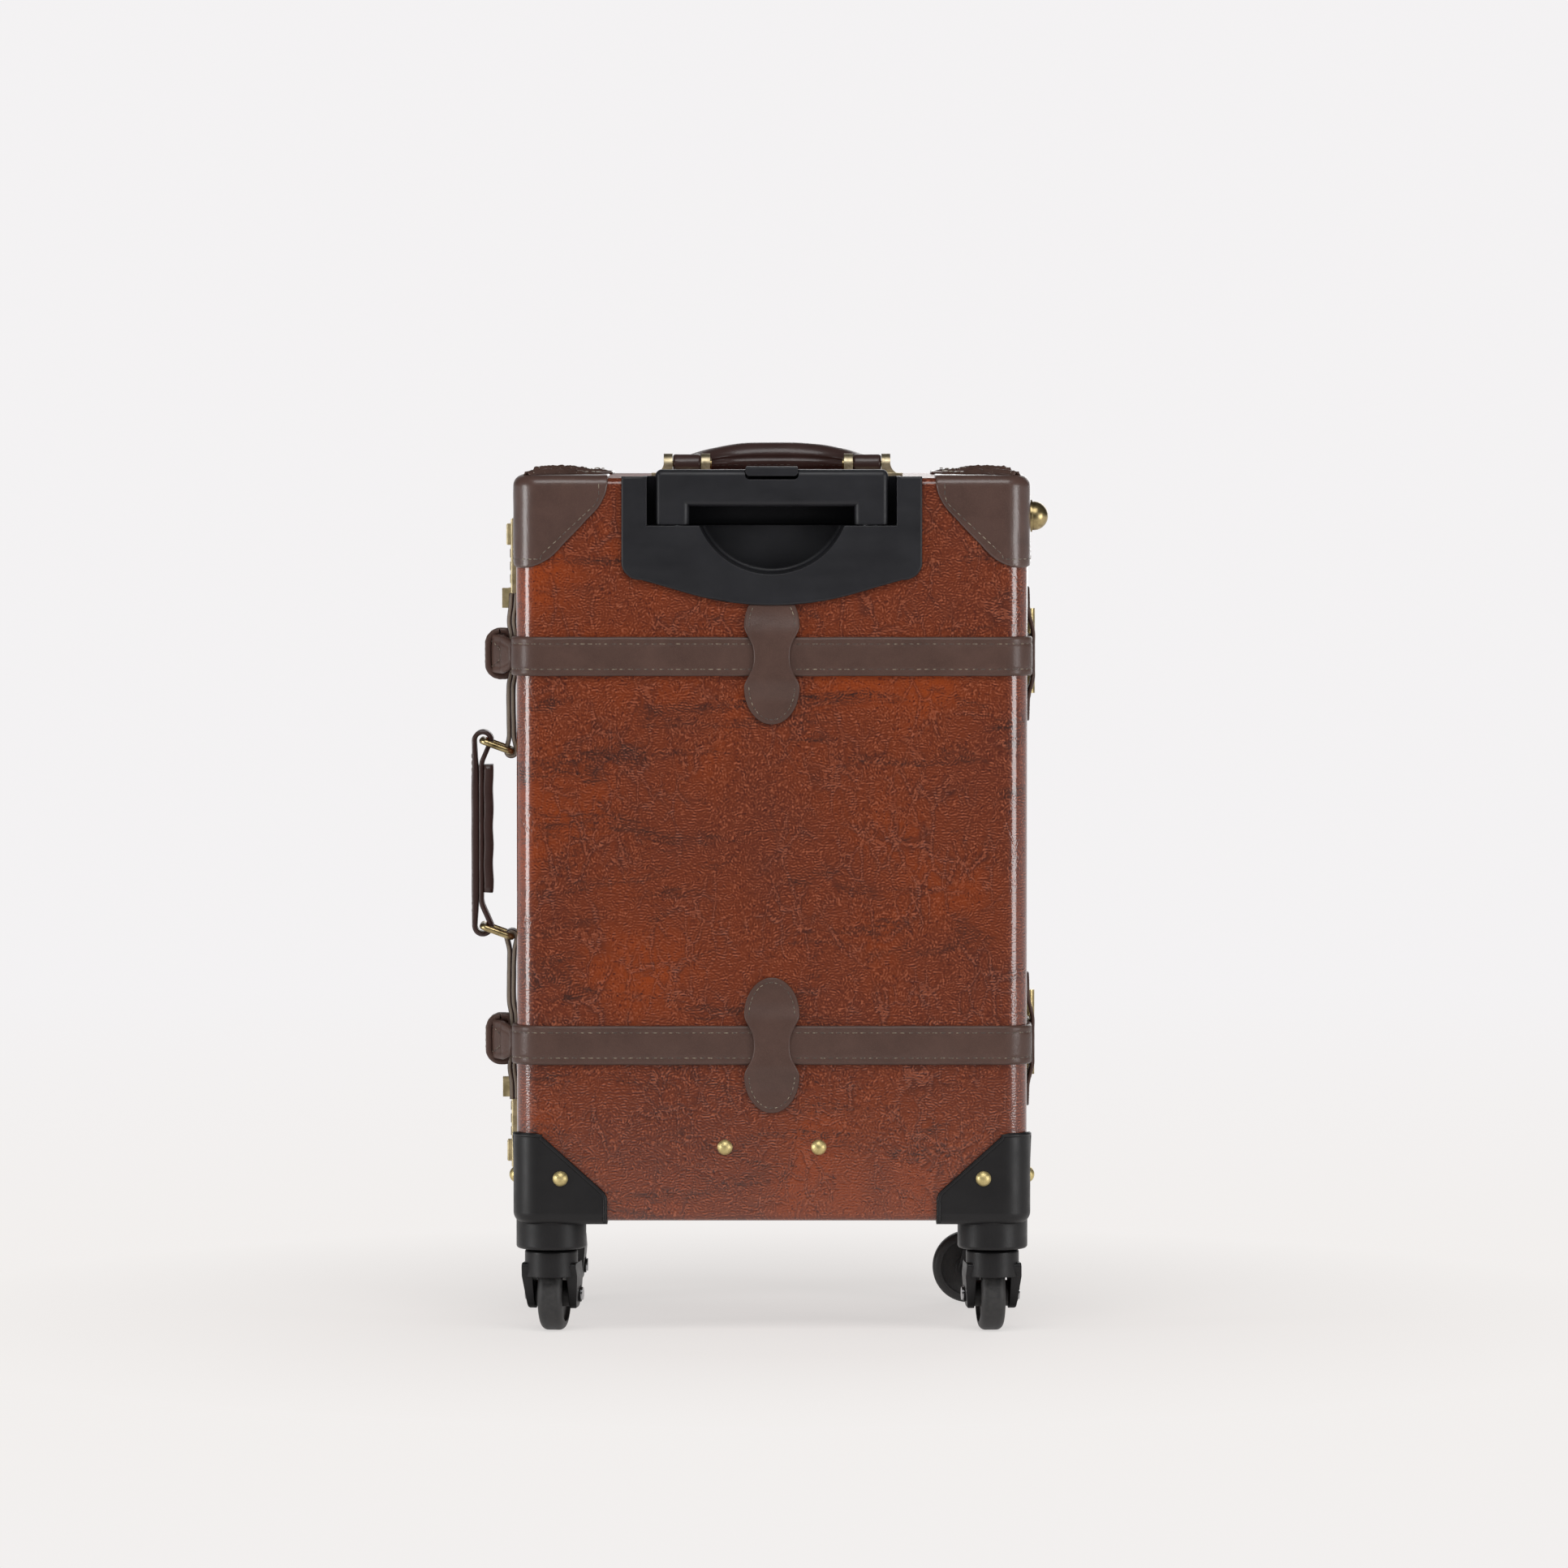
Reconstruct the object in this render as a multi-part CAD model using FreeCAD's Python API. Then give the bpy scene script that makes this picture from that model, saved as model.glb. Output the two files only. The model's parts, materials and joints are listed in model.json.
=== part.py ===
import FreeCAD, Part
import math
import os

# Leather trolley suitcase: two leather-covered half shells on four swivel castors.
# Millimetres. X to the right and +Y away from the viewer, seen from behind; +Z up.
# The origin lies on the floor under the middle of the case, in the parting plane.
# The back half (-Y) carries the trolley handle; the front half is the lid, hinged on the right.

V = FreeCAD.Vector

# Clearances
SEAT = 0.05
RUN = 0.05
GAP = 0.3
PARTING_GAP = 0.6

# Case
CASE_WIDTH = 332.0
CASE_HEIGHT = 483.0
HALF_DEPTH = 113.0
WALL = 3.5
CORNER_RADIUS = 16.0
RIM_RADIUS = 5.0
FRAME_THICKNESS = 5.0
FRAME_DEPTH = 9.0
LINING = 1.5

# Castors
WHEEL_DIAMETER = 48.0
WHEEL_WIDTH = 16.0
TYRE_EDGE_RADIUS = 4.5
TYRE_DEPTH = 5.5
HUB_RADIUS = 8.5
WHEEL_DISH_DEPTH = 2.5
AXLE_RADIUS = 2.5
AXLE_HEAD_RADIUS = 4.2
AXLE_HEAD_LENGTH = 1.2
FORK_LEG_THICKNESS = 6.4
WHEEL_SIDE_GAP = 3.4
WHEEL_ARCH_GAP = 2.0
CASTOR_TRAIL = 12.0
FORK_RISE = 30.5
CROWN_RADIUS = 17.3
CROWN_HEIGHT = 17.5
CROWN_EDGE_RADIUS = 2.0
LEG_END_RADIUS = 9.4
LEG_ROOT_DEPTH = 26.0
LEG_TAPER = 1.9
FORK_SHOULDER = 0.5
ARCH_ROUND = 5.0
AXLE_BOSS_RADIUS = 5.4
COLLAR_RADIUS = 10.0
COLLAR_HEIGHT = 0.5
STEM_RADIUS = 6.0
STEM_LENGTH = 12.0
CUP_RADIUS = 22.8
CUP_HEIGHT = 17.0
CUP_EDGE_RADIUS = 2.0
CASTOR_SIDE_INSET = 22.0
CASTOR_FACE_INSET = 24.0
BACK_LEFT_YAW = 8.0
BACK_RIGHT_YAW = -5.0
FRONT_LEFT_YAW = 3.0
FRONT_RIGHT_YAW = -90.0

# Corner guards at the bottom and leather caps at the top
GUARD_THICKNESS = 2.4
GUARD_REACH = 59.0
GUARD_HEIGHT = 57.5
GUARD_TOP_FLAT = 14.5
GUARD_LOW_EDGE = 17.4
GUARD_ROUND = 9.0
CAP_THICKNESS = 1.8
CAP_REACH = 60.0
CAP_DROP = 58.5
CAP_TOP_EDGE = 12.5
CAP_SIDE_EDGE = 16.3
CAP_ROUND = 32.0

# Rivets
RIVET_RADIUS = 5.0
RIVET_DOME = 3.0
RIVET_SHANK_RADIUS = 2.0
GUARD_RIVET_INSET = 28.5
GUARD_RIVET_HEIGHT = 28.0
BRACKET_RIVET_SPACING = 61.0
BRACKET_RIVET_HEIGHT = 48.2

# Belts and their keepers
BELT_WIDTH = 25.4
BELT_THICKNESS = 3.2
BELT_UNDER_HOUSING = 20.5
LOWER_BELT_HEIGHT = 114.8
BELT_HINGE_END = 22.0
BELT_LOOP_END = 84.0
BELT_LID_END = 24.0
TONGUE_RISE = 7.0
TONGUE_FLAT_START = 42.0
TONGUE_TIP = 80.0
TONGUE_POINT = 8.0
KEEPER_LENGTH = 88.2
KEEPER_WIDTH = 36.0
KEEPER_WAIST = 24.0
KEEPER_THICKNESS = 2.4
KEEPER_RAMP = 6.0
SIDE_KEEPER_DEPTH = 57.0

# Loops for the belt tongues, on the side handle's tabs
STRAP_WIDTH = 20.0
TAB_THICKNESS = 3.0
STRAP_DEPTH = 55.0
TAB_PAST_BELT = 40.5
LOOP_HEIGHT = 33.5
LOOP_THICKNESS = 2.5
LOOP_STANDOFF = 18.6
LOOP_WIDTH = 14.0
LOOP_ROUND = 7.0

# Side handle
HANDLE_LENGTH = 121.5
HANDLE_THICKNESS = 13.9
HANDLE_RISE = 1.85
RING_WIRE_RADIUS = 2.1
RING_LENGTH = 20.0
RING_WIDTH = 28.0
RING_ROUND = 3.5
RING_SLOPE = 20.0
FOLD_WALL = 2.3
LOOSE_FIT = 0.4
TEARDROP_LENGTH = 30.0

# Top handle
HANDLE_SHIFT = 3.3
PIN_SPAN = 118.5
PIN_RADIUS = 2.0
PIN_HEAD_RADIUS = 3.2
PIN_HEAD_LENGTH = 1.0
PIN_DEPTH = 18.0
EAR_HEIGHT = 14.6
EAR_RADIUS = 6.6
EAR_THICKNESS = 5.8
EAR_FLARE = 8.0
EAR_HOLLOW = 0.36
ROLL_WIDTH = 18.3
BRACKET_PLATE = 2.0
BRACKET_PLATE_DEPTH = 20.0
CARRY_REACH = 52.0
CARRY_SQUARENESS = 2.7
CARRY_GRIP_WIDTH = 21.0
CARRY_GRIP_HEIGHT = 20.4
CARRY_END_WIDTH = 15.0
CARRY_END_HEIGHT = 9.0
CARRY_GRIP_LIFT = 3.4
CARRY_SECTIONS = 13

# Trolley handle
HOUSING_HALF_WIDTH = 97.4
HOUSING_PROUD = 4.0
HOUSING_WALL = 2.5
HOUSING_SIDE_DROP = 56.0
HOUSING_KNEE_X = 84.5
HOUSING_KNEE_DROP = 66.0
HOUSING_BEVEL_X = 49.0
HOUSING_BEVEL_DROP = 76.2
HOUSING_DROP = 82.4
HOUSING_LIFT = 1.0
RECESS_HALF_WIDTH = 81.0
RECESS_DROP = 30.8
RECESS_DEPTH = 25.0
SCOOP_RADIUS = 50.8
SCOOP_DROP = 62.4
SCOOP_TAPER = 1.2
SCOOP_ROUND = 2.5
SCOOP_DEPTH = 22.0
GRIP_HALF_WIDTH = 75.4
GRIP_SETBACK = 1.6
GRIP_DEPTH = 24.0
GRIP_RISE = 5.4
GRIP_ROUND = 4.0
NOTCH_HALF_WIDTH = 53.5
NOTCH_DROP = 18.4
NOTCH_LIP = 4.5
BUTTON_WIDTH = 34.0
BUTTON_DEPTH = 13.0
BUTTON_HEIGHT = 6.0
BUTTON_PROUD = 2.0
BUTTON_TRAVEL = 2.0
BUTTON_ROUND = 3.0
BUTTON_CHIN = 2.6
TUBE_SPACING = 129.0
OUTER_TUBE_RADIUS = 8.0
TUBE_WALL = 1.0
TUBE_STAND = 0.5
TUBE_FOOT = 36.0
TUBE_STEP = 4.0
TUBE_GRIP_DEPTH = 20.0
FOOT_BRACKET_WIDTH = 156.0
FOOT_BRACKET_HEIGHT = 30.0
FOOT_BRACKET_SOCKET = 22.0

# Locks
LOCK_LENGTH = 63.0
LOCK_WIDTH = 25.0
LOCK_THICKNESS = 5.8
LOCK_EDGE_RADIUS = 1.2
LOCK_SETBACK = 2.0
LOCK_BELT_GAP = 12.0
DIAL_RADIUS = 4.5
DIAL_THICKNESS = 5.6
DIAL_PITCH = 8.4
DIAL_PROUD = 0.9
DIAL_AXLE_RADIUS = 1.3
DIAL_FLUTES = 10
DIAL_FLUTE_RADIUS = 0.5
KNOB_OFFSET = 21.0
SLIDER_LENGTH = 14.0
SLIDER_WIDTH = 8.0
SLIDER_PROUD = 2.8
SLIDER_STEM = 6.0
SLIDER_STEM_WIDTH = 2.6
SLIDER_TRAVEL = 3.0
HASP_HEIGHT = 13.0
HASP_THICKNESS = 1.8
HASP_AXIS_DEPTH = 6.5
HASP_BARREL_RADIUS = 2.6
HASP_PIN_RADIUS = 1.1
HASP_KNUCKLE = 3.0
HASP_REACH = 18.0
HASP_TAB = 7.0
HASP_TAB_HEIGHT = 3.9
HASP_BASE_DEPTH = 15.0
HASP_BASE_THICKNESS = 1.9

# Hinge
HINGE_LENGTH = 56.0
HINGE_LEAF_DEPTH = 18.0
HINGE_LEAF_THICKNESS = 1.8
HINGE_BARREL_RADIUS = 3.4
HINGE_PIN_RADIUS = 1.6
HINGE_KNUCKLE = 17.0

# Ball foot on the hinge side
FOOT_BALL_RADIUS = 9.4
FOOT_FLANGE_RADIUS = 10.5
FOOT_FLANGE = 1.5
FOOT_BALL_RISE = 1.0
FOOT_SHANK_RADIUS = 2.5
FOOT_DROP = 25.0
FOOT_DEPTH = 30.0

# Places that follow from the sizes
AXLE_Z = WHEEL_DIAMETER / 2
CROWN_TOP = AXLE_Z + FORK_RISE
CUP_BOTTOM = CROWN_TOP + COLLAR_HEIGHT + GAP
CASE_BOTTOM = CUP_BOTTOM + CUP_HEIGHT + GUARD_THICKNESS + SEAT
CASE_TOP = CASE_BOTTOM + CASE_HEIGHT
SIDE = CASE_WIDTH / 2
BACK = -HALF_DEPTH
RIM = -PARTING_GAP / 2
CASTOR_X = SIDE - CASTOR_SIDE_INSET
CASTOR_Y = HALF_DEPTH - CASTOR_FACE_INSET
UPPER_BELT = CASE_TOP - HOUSING_DROP - BELT_UNDER_HOUSING - BELT_WIDTH / 2
LOWER_BELT = CASE_BOTTOM + LOWER_BELT_HEIGHT
BELTS = (UPPER_BELT, LOWER_BELT)
HINGE_X = SIDE + SEAT + HINGE_LEAF_THICKNESS + HINGE_BARREL_RADIUS - HINGE_LEAF_THICKNESS / 2
LOCK_OFFSET = (BELT_WIDTH + LOCK_LENGTH) / 2 + LOCK_BELT_GAP
UPPER_LOCK = UPPER_BELT + LOCK_OFFSET
LOWER_LOCK = LOWER_BELT - LOCK_OFFSET
LOCKS = (("upper", UPPER_LOCK, 1), ("lower", LOWER_LOCK, -1))
LOCK_Y = -(LOCK_SETBACK + LOCK_WIDTH / 2)
DIAL_AXIS = LOCK_THICKNESS + DIAL_PROUD - DIAL_RADIUS
STRAP_Y = -STRAP_DEPTH
FOLD_RADIUS = RING_WIRE_RADIUS + RUN + FOLD_WALL
BAR_X = -(SIDE + SEAT + FOLD_RADIUS)
HANDLE_MIDDLE = (UPPER_BELT + LOWER_BELT) / 2 + HANDLE_RISE
LOW_BAR_Z = HANDLE_MIDDLE - HANDLE_LENGTH / 2
HIGH_BAR_Z = HANDLE_MIDDLE + HANDLE_LENGTH / 2
SLOPE = math.radians(RING_SLOPE)
RING_OUT = V(-math.cos(SLOPE), 0, math.sin(SLOPE))
PIN_Z = CASE_TOP + SEAT + EAR_HEIGHT - EAR_RADIUS
PIN_Y = -PIN_DEPTH
HOUSING_TOP = CASE_TOP + HOUSING_LIFT
RECESS_FLOOR = CASE_TOP - RECESS_DROP
GRIP_FRONT = BACK - HOUSING_PROUD + GRIP_SETBACK
GRIP_TOP = CASE_TOP + GRIP_RISE
RECESS_BACK = BACK + RECESS_DEPTH
TUBE_Y = BACK + WALL + TUBE_STAND + OUTER_TUBE_RADIUS
MID_TUBE_RADIUS = OUTER_TUBE_RADIUS - TUBE_WALL - RUN
INNER_TUBE_RADIUS = MID_TUBE_RADIUS - TUBE_WALL - RUN
TUBE_BOTTOM = CASE_BOTTOM + TUBE_FOOT


def plan(u, v):
    """Point of a plan outline: u along X, v along Y."""
    return V(u, v, 0)


def elevation(u, v):
    """Point of an outline seen from behind: u along X, v along Z."""
    return V(u, 0, v)


def profile(u, v):
    """Point of an outline seen from the side: u along Y, v along Z."""
    return V(0, u, v)


def outline(corners, place):
    """Face whose corners (u, v, radius) are rounded off with tangent arcs."""
    count = len(corners)
    starts = []
    arcs = []
    ends = []
    for i, (u, v, radius) in enumerate(corners):
        here = V(u, v, 0)
        before = V(*corners[i - 1][:2], 0) - here
        after = V(*corners[(i + 1) % count][:2], 0) - here
        before.normalize()
        after.normalize()
        half = before.getAngle(after) / 2
        cut = radius / math.tan(half)
        starts.append(here + before * cut)
        ends.append(here + after * cut)
        inward = before + after
        if radius > 0:
            inward.normalize()
            arcs.append(here + inward * (radius / math.sin(half) - radius))
        else:
            arcs.append(None)
    edges = []
    for i in range(count):
        a = place(starts[i].x, starts[i].y)
        b = place(ends[i].x, ends[i].y)
        c = place(starts[(i + 1) % count].x, starts[(i + 1) % count].y)
        if arcs[i]:
            edges.append(Part.Arc(a, place(arcs[i].x, arcs[i].y), b).toShape())
        if b.distanceToPoint(c) > 1e-6:
            edges.append(Part.LineSegment(b, c).toShape())
    return Part.Face(Part.Wire(edges))


def box(x0, x1, y0, y1, z0, z1):
    """Box between two values on each axis."""
    return Part.makeBox(x1 - x0, y1 - y0, z1 - z0, V(x0, y0, z0))


def rod(start, end, radius):
    """Cylinder from one point to another."""
    along = end - start
    return Part.makeCylinder(radius, along.Length, start, along)


def tube(start, end, radius, bore):
    """Hollow cylinder from one point to another."""
    return rod(start, end, radius).cut(rod(start, end, bore))


def joined(pieces):
    """One solid made of pieces that touch or overlap."""
    whole = pieces[0].multiFuse(pieces[1:])
    return whole.removeSplitter()


def turned(shape, centre, angle):
    """Copy of a shape turned about the vertical through a point."""
    copy = shape.copy()
    copy.rotate(centre, V(0, 0, 1), angle)
    return copy


def shifted(shape, x=0.0, y=0.0, z=0.0):
    """Copy of a shape moved along the axes."""
    copy = shape.copy()
    copy.translate(V(x, y, z))
    return copy


def left_right(shape):
    """A shape and its mirror image on the other side of the case."""
    return [shape, shape.mirror(V(0, 0, 0), V(1, 0, 0))]


def to_front(shapes):
    """Mirror images in the parting plane, for the front half."""
    return [shape.mirror(V(0, 0, 0), V(0, 1, 0)) for shape in shapes]


def half_block(offset, open_end=RIM):
    """Solid outline of the back half, grown by an offset, with its edges rounded."""
    a = SIDE + offset
    b = HALF_DEPTH + offset
    r = CORNER_RADIUS + offset
    face = outline([(-a, open_end, 0), (-a, -b, r), (a, -b, r), (a, open_end, 0)], plan)
    low = CASE_BOTTOM - offset
    block = face.extrude(V(0, 0, CASE_HEIGHT + 2 * offset))
    block.translate(V(0, 0, low))
    rim = []
    for edge in block.Edges:
        bounds = edge.BoundBox
        level = bounds.ZLength < 1e-6
        at_opening = bounds.YMin > open_end - 1e-6
        if level and not at_opening:
            rim.append(edge)
    if RIM_RADIUS + offset <= 0:
        return block
    return block.makeFillet(RIM_RADIUS + offset, rim)


def skin(thickness):
    """Layer of a given thickness that lies on the back half's outside."""
    return half_block(SEAT + thickness).cut(half_block(SEAT))


def back_rivet(x, z, seat):
    """Dome rivet through the back wall, its head on a face that stands seat proud."""
    radius = (RIVET_RADIUS ** 2 + RIVET_DOME ** 2) / (2 * RIVET_DOME)
    face = BACK - seat
    ball = Part.makeSphere(radius, V(x, face - RIVET_DOME + radius, z))
    head = ball.common(box(x - radius, x + radius, face - RIVET_DOME, face, z - radius, z + radius))
    shank = rod(V(x, face, z), V(x, BACK + WALL, z), RIVET_SHANK_RADIUS)
    return joined([head, shank])


def side_rivet(y, z, seat):
    """Dome rivet through the left wall, its head on a face that stands seat proud."""
    there = V(-SIDE, BACK, 0)
    rivet = back_rivet(0, z, seat)
    rivet.translate(V(0, -BACK, 0))
    rivet.rotate(V(0, 0, 0), V(0, 0, 1), -90)
    rivet.translate(V(there.x, y, 0))
    return rivet


def rivet_places():
    """Back-face rivets (x, z, seat) and left-side rivets (y, z, seat) of one left corner guard."""
    seat = SEAT + GUARD_THICKNESS + SEAT
    z = CASE_BOTTOM + GUARD_RIVET_HEIGHT
    return (-(SIDE - GUARD_RIVET_INSET), z, seat), (BACK + GUARD_RIVET_INSET, z, seat)


def back_hole(x, z):
    """Room for the shank of a rivet in the back wall."""
    return rod(V(x, BACK - RIVET_RADIUS, z), V(x, BACK + 2 * WALL + RIVET_RADIUS, z), RIVET_SHANK_RADIUS + RUN)


def side_hole(y, z):
    """Room for the shank of a rivet in the left wall."""
    return rod(V(-SIDE - RIVET_RADIUS, y, z), V(-SIDE + 2 * WALL, y, z), RIVET_SHANK_RADIUS + RUN)


def guard_holes():
    """Room for the shanks of the back corner guards' rivets."""
    face, flank = rivet_places()
    holes = left_right(back_hole(face[0], face[1])) + left_right(side_hole(flank[0], flank[1]))
    return Part.makeCompound(holes)


def bracket_holes():
    """Room for the shanks of the foot bracket's rivets."""
    z = CASE_BOTTOM + BRACKET_RIVET_HEIGHT
    return Part.makeCompound(left_right(back_hole(-BRACKET_RIVET_SPACING / 2, z)))


def guard_rivets():
    """Two rivets of each back corner guard, one on the back and one on the side."""
    face, flank = rivet_places()
    return left_right(back_rivet(*face)) + left_right(side_rivet(*flank))


def bracket_rivets():
    """Two rivets that hold the trolley's foot bracket to the back wall."""
    z = CASE_BOTTOM + BRACKET_RIVET_HEIGHT
    return left_right(back_rivet(-BRACKET_RIVET_SPACING / 2, z, SEAT))


def lock_window(z):
    """Room in the left wall for the inner side of a lock's dials."""
    reach = DIAL_PITCH + DIAL_THICKNESS / 2 + GAP
    half = DIAL_RADIUS + GAP
    return box(-SIDE - WALL, -SIDE + WALL + GAP, LOCK_Y - half, LOCK_Y + half, z - reach, z + reach)


def foot_centre():
    """Point on the right side wall where the ball foot's shank passes."""
    return V(SIDE, BACK + FOOT_DEPTH, CASE_TOP - FOOT_DROP)


def foot_hole():
    """Room for the ball foot's shank."""
    start = foot_centre() - V(2 * WALL, 0, 0)
    return rod(start, start + V(4 * WALL, 0, 0), FOOT_SHANK_RADIUS + RUN)


def plain_shell():
    """Hollow back half without its openings."""
    return half_block(0).cut(half_block(-WALL, open_end=WALL))


def recess_room(grow):
    """Outside of the grip's recess, grown by a clearance, open to the top."""
    half = RECESS_HALF_WIDTH + HOUSING_WALL + grow
    floor = RECESS_FLOOR - HOUSING_WALL - grow
    rear = RECESS_BACK + HOUSING_WALL + grow
    return box(-half, half, BACK - HOUSING_PROUD, rear, floor, HOUSING_TOP)


def scoop_room(grow):
    """Round scoop below the grip, rounded at its floor's edge, grown by a wall or a clearance."""
    centre = V(0, BACK - HOUSING_PROUD, CASE_TOP - SCOOP_DROP + SCOOP_RADIUS)
    depth = SCOOP_DEPTH + grow
    rim = SCOOP_RADIUS + grow
    corners = [(0, 0, 0), (rim, 0, 0), (rim - SCOOP_TAPER, depth, SCOOP_ROUND + grow), (0, depth, 0)]

    def place(u, v):
        return centre + V(u, v, 0)

    return outline(corners, place).revolve(centre, V(0, 1, 0), 360)


def housing_outline(grow):
    """Outline of the housing's face plate, seen from behind, grown by a clearance."""
    top = HOUSING_TOP + grow
    side = HOUSING_HALF_WIDTH + grow
    knee = (HOUSING_KNEE_X, CASE_TOP - HOUSING_KNEE_DROP - grow)
    bevel = (HOUSING_BEVEL_X, CASE_TOP - HOUSING_BEVEL_DROP - grow)
    bottom = CASE_TOP - HOUSING_DROP - grow
    hip = CASE_TOP - HOUSING_SIDE_DROP
    points = [elevation(-side, top), elevation(-side, hip), elevation(-knee[0], knee[1])]
    points.append(elevation(-bevel[0], bevel[1]))
    mirrored = [V(-p.x, 0, p.z) for p in points]
    lines = [(points[0], points[1]), (points[2], points[3]), (mirrored[3], mirrored[2])]
    lines += [(mirrored[1], mirrored[0]), (mirrored[0], points[0])]
    edges = [Part.LineSegment(a, b).toShape() for a, b in lines]
    middle = (points[1] + points[2]) * 0.5
    bulge = V(points[1].x - middle.x, 0, points[2].z - middle.z) * 0.4
    for corner in ((points[1], middle + bulge, points[2]),):
        edges.append(Part.Arc(*corner).toShape())
        edges.append(Part.Arc(*[V(-p.x, 0, p.z) for p in corner]).toShape())
    edges.append(Part.Arc(points[3], elevation(0, bottom), mirrored[3]).toShape())
    return Part.Face(Part.Wire(Part.__sortEdges__(edges)))


def back_shell():
    """Leather-covered tray that carries the trolley handle."""
    shell = plain_shell()
    shell = shell.cut(recess_room(GAP))
    scoop = scoop_room(HOUSING_WALL + GAP)
    shell = shell.cut(scoop)
    for name, z, way in LOCKS:
        shell = shell.cut(lock_window(z))
    shell = shell.cut(guard_holes()).cut(bracket_holes())
    return [shell.cut(foot_hole())]


def front_shell():
    """Leather-covered tray of the lid."""
    return to_front([plain_shell().cut(guard_holes())])


def frame():
    """Rim frame inside the open edge of the back half."""
    outer = half_block(-WALL - SEAT)
    inner = half_block(-WALL - FRAME_THICKNESS, open_end=WALL)
    rim = box(-SIDE, SIDE, RIM - FRAME_DEPTH, RIM, CASE_BOTTOM, CASE_TOP)
    return [outer.common(rim).cut(inner)]


def lining_tray():
    """Outside and inside of a lining that follows the shell up to the rim frame."""
    open_end = RIM - FRAME_DEPTH - GAP
    return half_block(-WALL - GAP, open_end), half_block(-WALL - GAP - LINING, WALL)


def back_lining():
    """Lining of the back half, stepped over the trolley's tubes and recess."""
    tubes = TUBE_Y + OUTER_TUBE_RADIUS + GAP
    recess = max(RECESS_BACK, BACK - HOUSING_PROUD + SCOOP_DEPTH) + HOUSING_WALL + 2 * GAP
    step = CASE_TOP - SCOOP_DROP - HOUSING_WALL - 2 * GAP
    outside, inside = lining_tray()
    half = SIDE
    low = CASE_BOTTOM
    room = joined([box(-half, half, BACK, tubes, low, CASE_TOP), box(-half, half, BACK, recess, step, CASE_TOP)])
    panel = [box(-half, half, BACK, tubes + LINING, low, CASE_TOP)]
    panel.append(box(-half, half, BACK, recess + LINING, step - LINING, CASE_TOP))
    return [outside.cut(room).cut(inside.cut(joined(panel)))]


def front_lining():
    """Lining of the lid."""
    outside, inside = lining_tray()
    return to_front([outside.cut(inside)])


def cap_outline(place, edge, top, sign):
    """Outline of a cap's flap: its rounded slant runs from the top edge to the corner edge."""
    out = edge - sign * 2 * CAP_THICKNESS
    lift = top + 2 * CAP_THICKNESS
    points = [(out, lift, 0), (edge + sign * CAP_REACH, lift, 0)]
    points.append((edge + sign * CAP_REACH, top - CAP_TOP_EDGE, CAP_ROUND))
    points.append((edge + sign * CAP_SIDE_EDGE, top - CAP_DROP, CAP_ROUND))
    points.append((out, top - CAP_DROP, 0))
    return outline(points, place)


def corner_caps():
    """Leather caps over the back half's upper corners."""
    behind = cap_outline(elevation, -SIDE, CASE_TOP, 1)
    behind.translate(V(0, 2 * BACK, 0))
    beside = cap_outline(profile, BACK, CASE_TOP, 1)
    beside.translate(V(-2 * SIDE, 0, 0))
    cap = skin(CAP_THICKNESS)
    cap = cap.common(behind.extrude(V(0, -2 * BACK, 0)))
    cap = cap.common(beside.extrude(V(2 * SIDE, 0, 0)))
    return left_right(cap)


def back_corner_caps():
    """Back caps; the right one is pierced by the ball foot."""
    left, right = corner_caps()
    return [left, right.cut(foot_hole())]


def guard_outline(place, edge, sign):
    """Outline of a guard's flap: flat top, slanted edge, upright inner edge."""
    out = edge - sign * 2 * GUARD_THICKNESS
    low = CASE_BOTTOM - 2 * GUARD_THICKNESS
    high = CASE_BOTTOM + GUARD_HEIGHT
    points = [(out, low, 0), (edge + sign * GUARD_REACH, low, 0)]
    points.append((edge + sign * GUARD_REACH, CASE_BOTTOM + GUARD_LOW_EDGE, GUARD_ROUND))
    points.append((edge + sign * GUARD_TOP_FLAT, high, GUARD_ROUND))
    points.append((out, high, 0))
    return outline(points, place)


def corner_guard():
    """Moulded guard of the back left bottom corner, with its castor's socket."""
    behind = guard_outline(elevation, -SIDE, 1)
    behind.translate(V(0, 2 * BACK, 0))
    beside = guard_outline(profile, BACK, 1)
    beside.translate(V(-2 * SIDE, 0, 0))
    guard = skin(GUARD_THICKNESS)
    guard = guard.common(behind.extrude(V(0, -2 * BACK, 0)))
    guard = guard.common(beside.extrude(V(2 * SIDE, 0, 0)))
    foot = V(-CASTOR_X, -CASTOR_Y, CUP_BOTTOM)
    cup = rod(foot, foot + V(0, 0, CUP_HEIGHT + GUARD_THICKNESS + RIM_RADIUS), CUP_RADIUS)
    lip = [edge for edge in cup.Edges if edge.BoundBox.ZMax < CUP_BOTTOM + 1e-6]
    cup = cup.makeFillet(CUP_EDGE_RADIUS, lip)
    guard = joined([guard, cup.cut(half_block(SEAT))])
    bore = rod(foot, foot + V(0, 0, COLLAR_HEIGHT + STEM_LENGTH + GAP), STEM_RADIUS + RUN)
    return guard.cut(bore)


def corner_guards():
    """Moulded guards of the back half's bottom corners."""
    return [guard.cut(guard_holes()) for guard in left_right(corner_guard())]


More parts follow.
